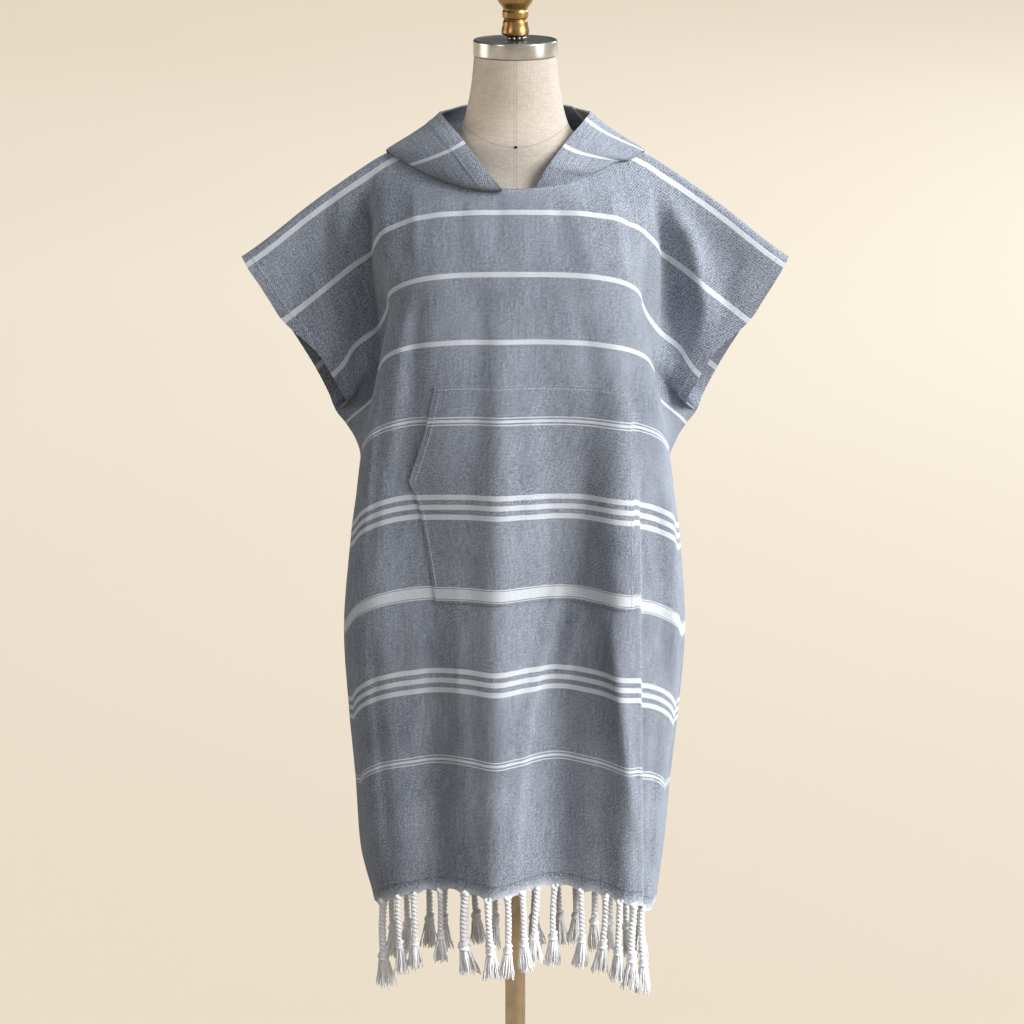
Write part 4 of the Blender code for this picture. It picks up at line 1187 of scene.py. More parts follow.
    def cut(self, reach: Array, level: Array) -> Array:
        """Distance down of a level, squeezed under the neckline.

        Args:
            reach: reach of each point.
            level: level of each point, its distance down away from the neck.

        Returns:
            The distance down.
        """
        widest = float(self.reach_at(np.array(self.neck_half_width), np.array(0.0)))
        start = self.neckline(self.neck_half_width * np.clip(
            np.abs(reach) / widest, 0.0, 1.0))
        squeezed = start + level * (self.squeezed - start) / self.squeezed
        return np.where(level < self.squeezed, squeezed, level)

    def columns(self, level: Array) -> Array:
        """Reach of each column at each level, closer together at crease and lap.

        Args:
            level: the levels of the rows.

        Returns:
            One row of reaches for each level.
        """
        tail = np.linspace(1.0, 2.0, self.tail_columns) + 0.0 * level[:, None]
        if self.face is Face.BACK:
            half = np.linspace(0.0, 1.0, self.half_columns)[:-1] + 0.0 * level[:, None]
            right = np.concatenate([half, tail], axis=1)
            return np.concatenate([-right[:, :0:-1], right], axis=1)
        lap, sharp = (
            self.reach_at(middle[:, None] + half * np.linspace(-1, 1, count), level[:, None])
            for middle, half, count in (
                (self.lap_across(level), self.lap_half, self.lap_columns),
                (SHARP.across(level), self.sharp_band, self.sharp_columns)))
        ones = np.ones(len(level))
        left = np.linspace(-ones, sharp[:, 0], self.left_columns, axis=1)[:, 1:]
        middle = np.linspace(sharp[:, -1], lap[:, 0], self.middle_columns, axis=1)[:, 1:-1]
        right = np.linspace(lap[:, -1], ones, self.right_columns, axis=1)[:, 1:-1]
        return np.concatenate([-tail[:, ::-1], left, sharp[:, 1:], middle, lap, right, tail],
                              axis=1)


# Cloth pieces


def keep_side(grid: Array, face: Face) -> Array:
    """Points held half a seam gap on their own side of the plane through the seams.

    Args:
        grid: points, changed in place.
        face: the panel.

    Returns:
        The same points.
    """
    outward = face.outward
    grid[..., 1] = outward * np.maximum(outward * grid[..., 1], 0.5 * SEAM_GAP)
    return grid


def run_along(points: Array, axis: int) -> Array:
    """Length walked along one axis of a grid of points, from its first row or column.

    Args:
        points: the grid.
        axis: 0 to walk down its columns, 1 along its rows.

    Returns:
        The length at each point.
    """
    step = np.linalg.norm(np.diff(points, axis=axis), axis=-1)
    start = np.zeros_like(np.take(step, [0], axis=axis))
    return np.concatenate([start, np.cumsum(step, axis=axis)], axis=axis)


@dataclass(frozen=True)
class Thread:
    """A running stitch: bent dashes of thread that dip into the cloth at both ends."""

    length: float = 0.0026
    pitch: float = 0.0041
    radius: float = 0.00037
    rise: float = 0.00040
    end_share: float = 0.45   # of the radius, before the swell towards the middle
    steps: int = 5
    sides: int = 5

    def sew(self, name: str, lines: list[tuple[Array, Array]],
            finish: bpy.types.Material) -> bpy.types.Object:
        """Dashes along lines on a surface.

        Args:
            name: the piece's name.
            lines: points and outward normals of each line, both of shape (n, 3).
            finish: the thread's material.

        Returns:
            One object with every dash: an arc between two places on the line, raised by
            a half sine along the normal and thinned towards its ends.
        """
        paths, normals = [], []
        share = np.linspace(0.0, 1.0, self.steps)
        for points, out in lines:
            run = run_along(points, 0)
            starts = np.arange(0.5 * self.pitch, run[-1] - self.length, self.pitch)
            place = starts[:, None] + self.length * share
            at, up = (np.stack([np.interp(place, run, part[:, axis]) for axis in range(3)],
                               axis=-1) for part in (points, out))
            paths.append(at + self.rise * np.sin(math.pi * share)[:, None] * unit(up))
            normals.append(unit(up[:, 2:3]))
        path = np.concatenate(paths)
        swell = np.sin(math.pi * (0.08 + 0.84 * share))
        radii = np.full(path.shape[:2], self.radius) * (
            self.end_share + (1.0 - self.end_share) * swell)
        points, faces = tubes(path, radii, self.sides, np.concatenate(normals))
        return carry(add_mesh(name, points, faces, finish), "towelling")


@dataclass(frozen=True)
class Strands:
    """Warp ends of one hem: place across, sideways drift of the tip, length and radius."""

    rows: tuple[tuple[float, float, float, float], ...]
    names = ("across", "drift", "length", "radius")

    def column(self, name: str) -> Array:
        """One measure of every end."""
        return np.array([row[self.names.index(name)] for row in self.rows])


FRONT_STRANDS = Strands((
    (-0.166, 0.002, 0.108, 0.0036), (-0.146, 0.001, 0.096, 0.0028),
    (-0.126, -0.002, 0.094, 0.0030), (-0.095, 0.004, 0.090, 0.0028),
    (-0.063, 0.000, 0.102, 0.0040), (-0.033, 0.002, 0.100, 0.0032),
    (-0.009, -0.002, 0.102, 0.0030), (0.008, 0.006, 0.098, 0.0030),
    (0.026, -0.002, 0.094, 0.0030), (0.049, -0.003, 0.100, 0.0030),
    (0.083, -0.002, 0.096, 0.0028), (0.112, -0.004, 0.096, 0.0032),
    (0.129, 0.001, 0.100, 0.0030), (0.147, -0.002, 0.104, 0.0036),
    (0.162, 0.004, 0.108, 0.0030),
))
BACK_STRANDS = Strands((
    (-0.158, 0.001, 0.104, 0.0030), (-0.139, -0.002, 0.106, 0.0030),
    (-0.112, 0.002, 0.102, 0.0032), (-0.091, 0.000, 0.108, 0.0030),
    (-0.052, 0.003, 0.100, 0.0032), (-0.026, -0.002, 0.104, 0.0030),
    (0.000, 0.002, 0.106, 0.0030), (0.026, -0.001, 0.102, 0.0034),
    (0.056, 0.002, 0.104, 0.0030), (0.078, -0.002, 0.100, 0.0030),
    (0.101, 0.001, 0.106, 0.0032), (0.123, -0.002, 0.102, 0.0030),
    (0.143, 0.002, 0.108, 0.0030), (0.160, 0.000, 0.104, 0.0030),
))


@dataclass(frozen=True)
class Panel:
    """Front or back of the poncho with its sleeves, a closed shell as thick as the cloth."""

    drape: Drape
    strands: Strands
    frayed_from: float = 0.931
    frayed: float = 0.0015
    scallop: float = 0.0055
    scallop_half: float = 0.0085
    ruffle: float = 0.0009
    ruffle_pitch: float = 0.0105
    neck_stitches: tuple[float, float] = (-0.012, 0.058)
    neck_inset: float = 0.0028
    cuff_inset: float = 0.015
    cuff_run: tuple[float, float, int] = (0.004, 0.214, 160)
    sleeve_bend: float = 0.02
    row_runs: tuple[tuple[float, float, int], ...] = (
        (0.0, 0.20, 54), (0.20, 0.92, 136), (0.92, CLOTH_LENGTH, 16))

    def levels(self) -> Array:
        """Distances down of the rows, closer at the neck and at the hem.

        Returns:
            The levels.
        """
        runs = [np.linspace(*run)[:-1] for run in self.row_runs]
        return np.concatenate([*runs, [CLOTH_LENGTH]])

    def hem_drop(self, across: Array) -> Array:
        """How far the edge reaches down at each place, a small peak at every tassel.

        Args:
            across: place across of each point.

        Returns:
            How far each point is lowered.
        """
        gap = across[..., None] - self.strands.column("across")
        peak = np.exp(-(gap / self.scallop_half) ** 2).max(axis=-1)
        return self.frayed + self.scallop * peak

    def surface(self) -> tuple[Array, Array]:
        """Outer surface with every fold and crease, and its flat place across and down.

        Returns:
            The points, and the flat places as rows of two.
        """
        level = self.levels()
        reach = self.drape.columns(level)
        down = self.drape.cut(reach, level[:, None] + 0.0 * reach)
        outer = self.drape.points(reach, down)
        run = run_along(outer, 1)
        middle = np.argmin(np.abs(reach), axis=1)
        across = run - np.take_along_axis(run, middle[:, None], axis=1)
        edge = ease(down, self.frayed_from, CLOTH_LENGTH)
        outer[..., 2] -= self.hem_drop(outer[..., 0]) * edge
        outer[..., 1] += self.ruffle * edge * np.sin(
            across * 2.0 * math.pi / self.ruffle_pitch)
        return outer, np.stack([across, down], axis=-1)

    def build(self, finish: bpy.types.Material) -> bpy.types.Object:
        """The panel as one piece that hangs on the torso.

        Args:
            finish: its material.

        Returns:
            The piece.
        """
        outer, uv = self.surface()
        normal = grid_normals(outer)
        side = np.sign(np.sum(normal[len(normal) // 2, :, 1]) * self.drape.face.outward)
        inner = outer - side * CLOTH_WALL * normal
        face = self.drape.face
        return carry(add_shell(f"{face.value}_cloth", keep_side(outer, face),
                               keep_side(inner, face), uv, finish),
                     "towelling", f"{face.value}_panel")

    def line(self, reach: Array, down: Array, lift: float = 0.0002) -> tuple[Array, Array]:
        """Points just above the cloth and the outward direction there."""
        at = self.drape.lifted(reach, down, lift + 0.0 * down)
        return at, unit(self.drape.lifted(reach, down, 0.001 + 0.0 * down) - at)

    def neck_line(self) -> tuple[Array, Array]:
        """Stitch line under the part of the neckline that the hood leaves bare.

        Returns:
            Points and normals of the line.
        """
        across = np.linspace(*self.neck_stitches, 60)
        down = self.drape.neckline(across) + self.neck_inset
        return self.line(self.drape.reach_at(across, down), down)

    def cuff_lines(self) -> list[tuple[Array, Array]]:
        """Stitch lines inside both cuffs; the sleeve bends, so it is a little longer there
        than the straight way from crest to cuff.

        Returns:
            Points and normals of each line.
        """
        down = np.linspace(*self.cuff_run)
        sizes = self.drape.sizes(down)
        tail = np.hypot(sizes["edge_x"] - sizes["crest_x"],
                        sizes["edge_z"] - sizes["crest_z"]) + self.sleeve_bend
        reach = 2.0 - self.cuff_inset / tail
        return [self.line(side * reach, down) for side in (-1.0, 1.0)]


@dataclass(frozen=True)
class Pocket:
    """Patch pocket, the front's own points moved out, its slits standing a little open."""

    drape: Drape
    outline: Table = Table(
        ("down", "left", "right", "gape"),
        (
            (0.310, -0.0985, 0.1390, 0.0000), (0.350, -0.1065, 0.1405, 0.0012),
            (0.392, -0.1180, 0.1420, 0.0020), (0.421, -0.1285, 0.1428, 0.0014),
            (0.427, -0.1302, 0.1430, 0.0010), (0.433, -0.1275, 0.1432, 0.0006),
            (0.444, -0.1236, 0.1435, 0.0000), (0.468, -0.1160, 0.1442, 0.0000),
            (0.505, -0.1095, 0.1450, 0.0000), (0.581, -0.0975, 0.1465, 0.0000),
        ))
    top: float = 0.310
    bottom: float = 0.581
    wall: float = 0.0007
    air: float = 0.0004
    puff: float = 0.0010
    across_shift: float = 0.200
    down_shift: float = -0.0015
    rows: int = 100
    columns: int = 110

    def spot(self, share: Array, down: Array, lift: float) -> Array:
        """Point at a share of the width and a distance down, lifted off the inner side.

        Args:
            share: share of the width from the left edge.
            down: distance down of each point.
            lift: how far off the inner side.

        Returns:
            The points.
        """
        left, right, gape = (self.outline.at(name, down) for name in ("left", "right", "gape"))
        across = left + (right - left) * share
        deep = (down - self.top) / (self.bottom - self.top)
        middle = np.sin(math.pi * share) * np.sin(math.pi * deep)
        clear = self.air + self.puff * middle + gape * np.abs(2.0 * share - 1.0) ** 6
        reach = self.drape.reach_at(across, down)
        return self.drape.lifted(reach, down, clear + lift)

    def build(self, finish: bpy.types.Material) -> bpy.types.Object:
        """The pocket as a thin shell over the front.

        Args:
            finish: its material.

        Returns:
            The piece.
        """
        down = np.linspace(self.top, self.bottom, self.rows)[:, None]
        share = np.linspace(0.0, 1.0, self.columns)[None, :] + 0.0 * down
        down = down + 0.0 * share
        inner, outer = self.spot(share, down, 0.0), self.spot(share, down, self.wall)
        across = run_along(outer, 1) + self.across_shift   # so its grain isn't the front's
        uv = np.stack([across, down + self.down_shift], axis=-1)
        return carry(add_shell("pocket_cloth", outer, inner, uv, finish), "towelling",
                     "kangaroo_pocket")

    def stitch_lines(self) -> list[tuple[Array, Array]]:
        """Stitch lines inside the four edges and beside the hand slit.

        Returns:
            Points and normals of each line.
        """
        span = self.bottom - self.top
        ends = np.linspace(0.0, 1.0, 120)
        runs = [
            (0.012 + 0.976 * ends, self.top + 0.004 + 0.0 * ends),
            (0.018 + 0.964 * ends, self.bottom - 0.004 + 0.0 * ends),
            (0.985 + 0.0 * ends, self.top + 0.008 + (span - 0.012) * ends),
            (0.015 + 0.0 * ends, 0.440 + (self.bottom - 0.444) * ends),
            (0.030 + 0.0 * ends, self.top + 0.006 + 0.112 * ends),
        ]
        lines = []
        for share, down in runs:
            at = self.spot(share, down, self.wall + 0.0001)
            lines.append((at, unit(self.spot(share, down, self.wall + 0.001) - at)))
        return lines


STATIONS = Table(
    ("round", "run_x", "run_v", "ahead", "out", "high_x", "high_y", "high_z",
     "edge_x", "edge_y", "edge_z"),
    (
        (0.00, 0.000, 0.004, 0.002, 0.003, 0.000, 0.002, -0.001, 0.0154, -0.0975, 1.3370),
        (0.20, 0.001, 0.006, 0.008, 0.006, 0.014, -0.006, -0.010, 0.0411, -0.0850, 1.3670),
        (0.40, 0.005, 0.005, 0.008, 0.005, 0.019, -0.012, -0.014, 0.0697, -0.0450, 1.3985),
        (0.50, 0.008, 0.002, 0.007, 0.004, 0.021, -0.008, -0.020, 0.0840, -0.0220, 1.4120),
        (0.58, 0.008, -0.002, 0.007, 0.004, 0.022, 0.002, -0.024, 0.0927, 0.0000, 1.4203),
        (0.64, 0.009, -0.024, 0.010, 0.006, 0.028, 0.018, -0.026, 0.0895, 0.0220, 1.4180),
        (0.72, 0.009, -0.064, 0.018, 0.016, 0.045, 0.050, -0.045, 0.0790, 0.0500, 1.4170),
        (0.80, 0.008, -0.110, 0.026, 0.024, 0.050, 0.080, -0.085, 0.0655, 0.0720, 1.4185),
        (0.90, 0.004, -0.148, 0.034, 0.030, 0.028, 0.100, -0.125, 0.0385, 0.0920, 1.4190),
        (1.00, 0.000, -0.162, 0.036, 0.032, 0.000, 0.105, -0.145, 0.0000, 0.1000, 1.4185),
    ))
# The right half starts behind the neckline and its free edge stands a little higher there
TUCKED_STATIONS = Table(STATIONS.names, (
    (0.00, 0.000, 0.004, 0.002, 0.000, 0.000, 0.000, -0.001, 0.0256, -0.0872, 1.3420),
    (0.10, 0.000, 0.002, 0.002, 0.000, 0.004, -0.002, -0.004, 0.0325, -0.0875, 1.3540),
    (0.20, 0.001, 0.001, 0.003, 0.002, 0.010, -0.004, -0.008, 0.0411, -0.0850, 1.3670),
    (0.30, 0.003, 0.000, 0.004, 0.003, 0.015, -0.008, -0.012, 0.0555, -0.0665, 1.3835),
) + STATIONS.rows[2:])


@dataclass(frozen=True)
class HoodHalf:
    """One half of the hood: from the neckline out over the panel, over a soft roll and
    back in to the hemmed free edge; the table gives stations from the V round to the back.
    """

    side: float
    front: Drape
    back: Drape
    stations: Table = STATIONS
    start: float = 0.2
    ridge: float = 0.58
    air: tuple[float, float] = (0.0008, 0.0022)
    hem: float = 0.020
    hem_rise: float = 0.0004
    front_start: float = 0.0154
    tucked: float = 0.0
    untuck: float = 0.14
    tuck_down: float = 0.004
    tuck_air: float = 0.0008
    columns: int = 130
    run_rows: int = 18
    rise_rows: int = 64

    @property
    def word(self) -> str:
        """The half's side as the viewer sees it, left or right."""
        return "left" if self.side < 0.0 else "right"

    def neckline(self, rounds: Array) -> tuple[Array, Array]:
        """Across and signed down of the cut neckline; the back counts as negative.

        Args:
            rounds: stations, 0 at the V and 1 at the centre back.

        Returns:
            Place across and signed distance down.
        """
        width = self.front.neck_half_width
        first = math.asin(self.front_start / width)
        angle = np.where(rounds < self.ridge,
                         first + (0.5 * math.pi - first) * rounds / self.ridge,
                         0.5 * math.pi * (1.0 + (rounds - self.ridge) / (1.0 - self.ridge)))
        depth = np.where(rounds < self.ridge, self.front.neck_depth, -self.back.neck_depth)
        bulge = np.clip(np.sin(angle), 0.0, 1.0) ** self.front.neck_round
        return width * np.sin(angle), depth * (1.0 - bulge)

    def over(self, across: Array, signed_down: Array, distance: Array) -> Array:
        """Points above the panels, the front for a positive distance down.

        Args:
            across: place across of each point.
            signed_down: distance down, negative on the back.
            distance: how far above the panel.

        Returns:
            The points.
        """
        down = np.abs(signed_down)
        points = {}
        for drape in (self.front, self.back):
            reach = drape.reach_at(self.side * np.maximum(across, 1e-4), down)
            points[drape.face] = drape.lifted(reach, down, distance)
        return np.where(signed_down[..., None] >= 0.0, points[Face.FRONT], points[Face.BACK])

    def surface(self, rounds: Array, runs: Array, rises: Array) -> Array:
        """Outer surface: the run along the panel, then one cubic up and in to the edge.

        Args:
            rounds: stations round the neck.
            runs: shares of the run along the panel.
            rises: shares of the way up from the panel to the free edge.

        Returns:
            The points, a column for each station.
        """
        row = {name: self.stations.at(name, rounds) for name in self.stations.names[1:]}
        across, down = self.neckline(rounds)
        share = self.start + (1.0 - self.start) * runs[:, None]
        behind = ease(rounds, self.tucked + self.untuck,
                      self.tucked) if self.tucked else 0.0
        run_across = across + row["run_x"] * share
        run_down = (down + (1.0 - behind) * row["run_v"] * share
                    + behind * self.tuck_down * (1.0 - share))
        clear = self.air[0] + (self.air[1] - self.air[0]) * runs[:, None] + 0.0 * run_down
        clear = clear * (1.0 - behind) - behind * (CLOTH_WALL + self.tuck_air)
        run = self.over(run_across, run_down, clear)
        leave = run[-1]
        ahead = unit(leave - run[-2])
        out = unit(self.over(run_across[-1], run_down[-1], clear[-1] + 0.001) - leave)
        low = leave + ahead * row["ahead"][:, None] + out * row["out"][:, None]
        mirror = np.array((self.side, 1.0, 1.0))
        high, edge = (np.stack([row[f"{knot}_{axis}"] for axis in "xyz"], axis=-1) * mirror
                      for knot in ("high", "edge"))
        t = rises[:, None, None]
        rise = (leave * (1 - t) ** 3 + 3 * low * t * (1 - t) ** 2
                + 3 * (edge + high) * t * t * (1 - t) + edge * t ** 3)
        path = np.concatenate([run, rise])
        path[..., 0] = self.side * np.maximum(self.side * path[..., 0], 0.5 * SEAM_GAP)
        return path

    def build(self, finish: bpy.types.Material) -> tuple[bpy.types.Object,
                                                          tuple[Array, Array]]:
        """The half with its hem, and the stitch line on it.

        Args:
            finish: its material.

        Returns:
            The piece, and points and normals of the line.
        """
        rounds, runs, rises = (np.linspace(0.0, 1.0, count) for count in (
            self.columns, self.run_rows, self.rise_rows))
        outer = self.surface(rounds, runs, rises[1:])
        normal = grid_normals(outer)
        normal[:, -1, 0] = 0.0
        edge_run = run_along(outer[-1:], 1)
        inward = run_along(outer[::-1], 0)[::-1]
        hemmed = ease(inward, self.hem + 0.0012, self.hem - 0.0004)
        outer = outer + self.side * self.hem_rise * hemmed[..., None] * normal
        wall = CLOTH_WALL + 2.0 * self.hem_rise * hemmed
        inner = outer - self.side * wall[..., None] * normal
        for grid in (outer, inner):
            grid[..., 0] = self.side * np.maximum(self.side * grid[..., 0], 0.5 * SEAM_GAP)
        uv = np.stack([inward, edge_run + 0.0 * inward], axis=-1)
        piece = carry(add_shell(f"hood_{self.word}_cloth", outer, inner, uv, finish),
                      "towelling", f"hood_{self.word}")
        row = np.argmax(inward < self.hem - 0.001, axis=0)
        pick = (row, np.arange(len(rounds)))
        out = self.side * normal[pick]
        return piece, ((outer[pick] + 0.0002 * out)[3:], out[3:])


@dataclass(frozen=True)
class Ends:
    """The ends of one hem as they hang: a root, a drift of the tip, a length and a radius
    for each."""

    root: Array
    drift: Array
    length: Array
    radius: Array
    drift_power: float = 1.4
    sway: float = 0.0012
    lean: float = 0.0010

    def centre(self, s: Array) -> Array:
        """Middle of the ends: a slow sway that grows towards the tip.

        Args:
            s: shares of the length, a row for each end.

        Returns:
            The points.
        """
        x, y, z = (self.root[:, axis:axis + 1] for axis in range(3))
        sway = self.drift[:, None] * s ** self.drift_power + self.sway * np.sin(
            5.0 * s + 60.0 * x)
        lean = self.lean * np.sin(4.0 * s + 90.0 * x)
        return np.stack([x + sway, y + lean * s, z - self.length[:, None] * s], axis=-1)


@dataclass(frozen=True)
class Fringe:
    """Warp ends under one hem, each twisted from two plies, knotted and brushed out."""

    panel: Panel
    seed: int
    twist: float = 0.0108
    rope_share: float = 0.62
    hairs: int = 54
    hair_radius: float = 0.00092
    longer: float = 1.04    # than the record's ends
    thicker: float = 1.26
    # Shares of an end's radius; the core's are its start, its widening and its thinning
    ply_off: float = 0.52
    ply_radius: float = 0.60
    root_swell: float = 0.25
    knot_off: float = 0.95
    knot_radius: float = 0.72
    core_shape: tuple[float, float, float] = (0.95, 1.35, 1.95)
    # Tilt, rise and phase of each loop of the knot
    knot_loops: tuple[tuple[float, float, float], ...] = ((0.9, 0.35, 0.0),
                                                          (-0.7, -0.45, 1.3))
    hair_lean: float = 0.16
    hair_curl: float = 0.0007
    hair_thins: float = 0.45
    hair_lengths: tuple[float, float] = (0.82, 1.06)

    def roots(self) -> Array:
        """Where each end leaves the hem.

        Returns:
            The points.
        """
        across = self.panel.strands.column("across")
        down = np.full(len(across), CLOTH_LENGTH)
        drape = self.panel.drape
        at = drape.points(drape.reach_at(across, down), down)
        at[:, 1] -= drape.face.outward * 0.5 * CLOTH_WALL
        at[:, 2] -= self.panel.hem_drop(at[:, 0]) - 0.004
        return at

    def ropes(self, ends: Ends) -> tuple[Array, list]:
        """Two plies turning round each other, each a helix half a radius off the middle.

        Args:
            ends: the ends of one hem.

        Returns:
            Points and faces.
        """
        x = ends.root[:, :1]
        s = np.linspace(0.0, self.rope_share + 0.02, 64)[None, :] + 0.0 * x
        middle = ends.centre(s)
        turn = 2.0 * math.pi * ends.length[:, None] * s / self.twist + 40.0 * x
        swell = ends.radius[:, None] * (1.0 + self.root_swell * ease(s, 0.10, 0.0))
        paths = []
        for ply in (0.0, math.pi):
            ring = np.stack([np.cos(turn + ply), np.sin(turn + ply), 0.0 * turn], axis=-1)
            paths.append(middle + self.ply_off * swell[..., None] * ring)
        path = np.concatenate(paths)
        radii = self.ply_radius * np.concatenate([swell, swell])
        return tubes(path, radii, 7, np.array((0.0, 1.0, 0.0)))

    def knots(self, ends: Ends) -> tuple[Array, list]:
        """Two slanted loops round the end of each rope.

        Args:
            ends: the ends of one hem.

        Returns:
            Points and faces.
        """
        angle = np.linspace(0.0, 2.0 * math.pi, 22)
        middle = ends.centre(np.full((len(ends.root), 1), self.rope_share + 0.02))
        paths = []
        for tilt, rise, phase in self.knot_loops:
            ring = np.stack([np.cos(angle), np.sin(angle),
                             tilt * np.cos(angle + phase) + rise], axis=-1)
            paths.append(middle + ends.radius[:, None, None] * self.knot_off * ring)
        path = np.concatenate(paths)
        radii = self.knot_radius * np.tile(ends.radius, 2)[:, None] + 0.0 * path[..., 0]
        return tubes(path, radii, 7, np.array((0.0, 0.0, 1.0)))

    def brushes(self, ends: Ends) -> tuple[Array, list]:
        """Brushed fibres: they leave the knot close together, spread and bend down.

        Args:
            ends: the ends of one hem.

        Returns:
            Points and faces.
        """
        dice = np.random.default_rng(self.seed)
        count = len(ends.root)
        t = np.linspace(0.0, 1.0, 7)
        shape = (count, self.hairs, 1)
        turn = dice.uniform(0.0, 2.0 * math.pi, shape)
        out = np.sqrt(dice.uniform(0.0, 1.0, shape))
        reach = dice.uniform(*self.hair_lengths, shape)
        lean = dice.normal(0.0, self.hair_lean, (count, 1, 2))
        start = self.rope_share + 0.03
        s = start + (1.0 - start) * reach * t
        middle = ends.centre(s.reshape(count, -1)).reshape(count, self.hairs, -1, 3)
        spread = ends.radius[:, None, None] * out * (0.9 + 2.0 * t ** 0.8)
        curl = self.hair_curl * np.sin(9.0 * t + 3.0 * turn) * t
        x = spread * (np.cos(turn) + lean[..., :1] * t) + curl
        y = spread * (np.sin(turn) + lean[..., 1:] * t) + curl
        path = middle + np.stack([x, y, 0.0 * x], axis=-1)
        path = path.reshape(count * self.hairs, len(t), 3)
        radii = self.hair_radius * (1.0 - self.hair_thins * t) + 0.0 * path[..., 0]
        return tubes(path, radii, 4, np.array((0.0, 1.0, 0.0)))

    def cores(self, ends: Ends) -> tuple[Array, list]:
        """Dense middle of each brush: a cone that widens from the knot and then thins.

        Args:
            ends: the ends of one hem.

        Returns:
            Points and faces.
        """
        t = np.linspace(0.0, 1.0, 8)
        s = self.rope_share + 0.02 + (0.94 - self.rope_share) * t + 0.0 * ends.root[:, :1]
        start, widens, thins = self.core_shape
        shape = start + widens * t - thins * ease(t, 0.45, 1.0)
        return tubes(ends.centre(s), ends.radius[:, None] * shape, 9,
                     np.array((0.0, 1.0, 0.0)))

    def build(self, finish: bpy.types.Material) -> None:
        """Every end of one hem as one piece.

        Args:
            finish: its material.
        """
        strands = self.panel.strands
        ends = Ends(self.roots(), strands.column("drift"),
                    self.longer * strands.column("length"),
                    self.thicker * strands.column("radius"))
        points, faces = [], []
        count = 0
        for part in (self.ropes, self.knots, self.cores, self.brushes):
            new, corners = part(ends)
            points.append(new)
            faces += [[corner + count for corner in face] for face in corners]
            count += len(new)
        word = self.panel.drape.face.value
        carry(add_mesh(f"{word}_tassels", np.concatenate(points), faces, finish),
              "cotton_ends", f"{word}_fringe")


@dataclass(frozen=True)
class Poncho:
    """The garment: two panels, hood, pocket, fringe and the sewing that shows."""

    front: Panel = Panel(Drape(Face.FRONT, FRONT_FOLDS, FRONT_CREASES), FRONT_STRANDS)
    back: Panel = Panel(Drape(Face.BACK, BACK_FOLDS, BACK_CREASES), BACK_STRANDS)

    def build(self) -> None:
        """Build every piece of the garment."""
        woven = Towelling(Layout.PANEL).material()
        cotton = Cotton("undyed cotton ends").material()
        thread = Cotton("cotton sewing thread", "DCE0E7", "B4BAC5", 0.6).material()
        panels = [half.build(woven) for half in (self.front, self.back)]
        for half, seed in ((self.front, 11), (self.back, 23)):
            Fringe(half, seed).build(cotton)
        pocket = Pocket(self.front.drape)
        pouch = pocket.build(woven)
        Thread().sew("pocket_stitches", pocket.stitch_lines(), thread)
        for half in (self.front, self.back):
            Thread().sew(f"{half.drape.face.value}_cuff_stitches", half.cuff_lines(), thread)
        drapes = self.front.drape, self.back.drape
        halves = (
            (HoodHalf(-1.0, *drapes), Layout.HOOD_LEFT),
            (HoodHalf(1.0, *drapes, tucked=0.10, front_start=0.0250,
                      stations=TUCKED_STATIONS), Layout.HOOD_RIGHT))
        hoods, lines = [], [self.front.neck_line()]
        for half, layout in halves:
            piece, line = half.build(Towelling(layout).material())
            hoods.append(piece)
            lines.append(line)
        Thread(radius=0.00022, length=0.0020, pitch=0.0034).sew(
            "hood_stitches", lines, thread)


# Dress form and stand


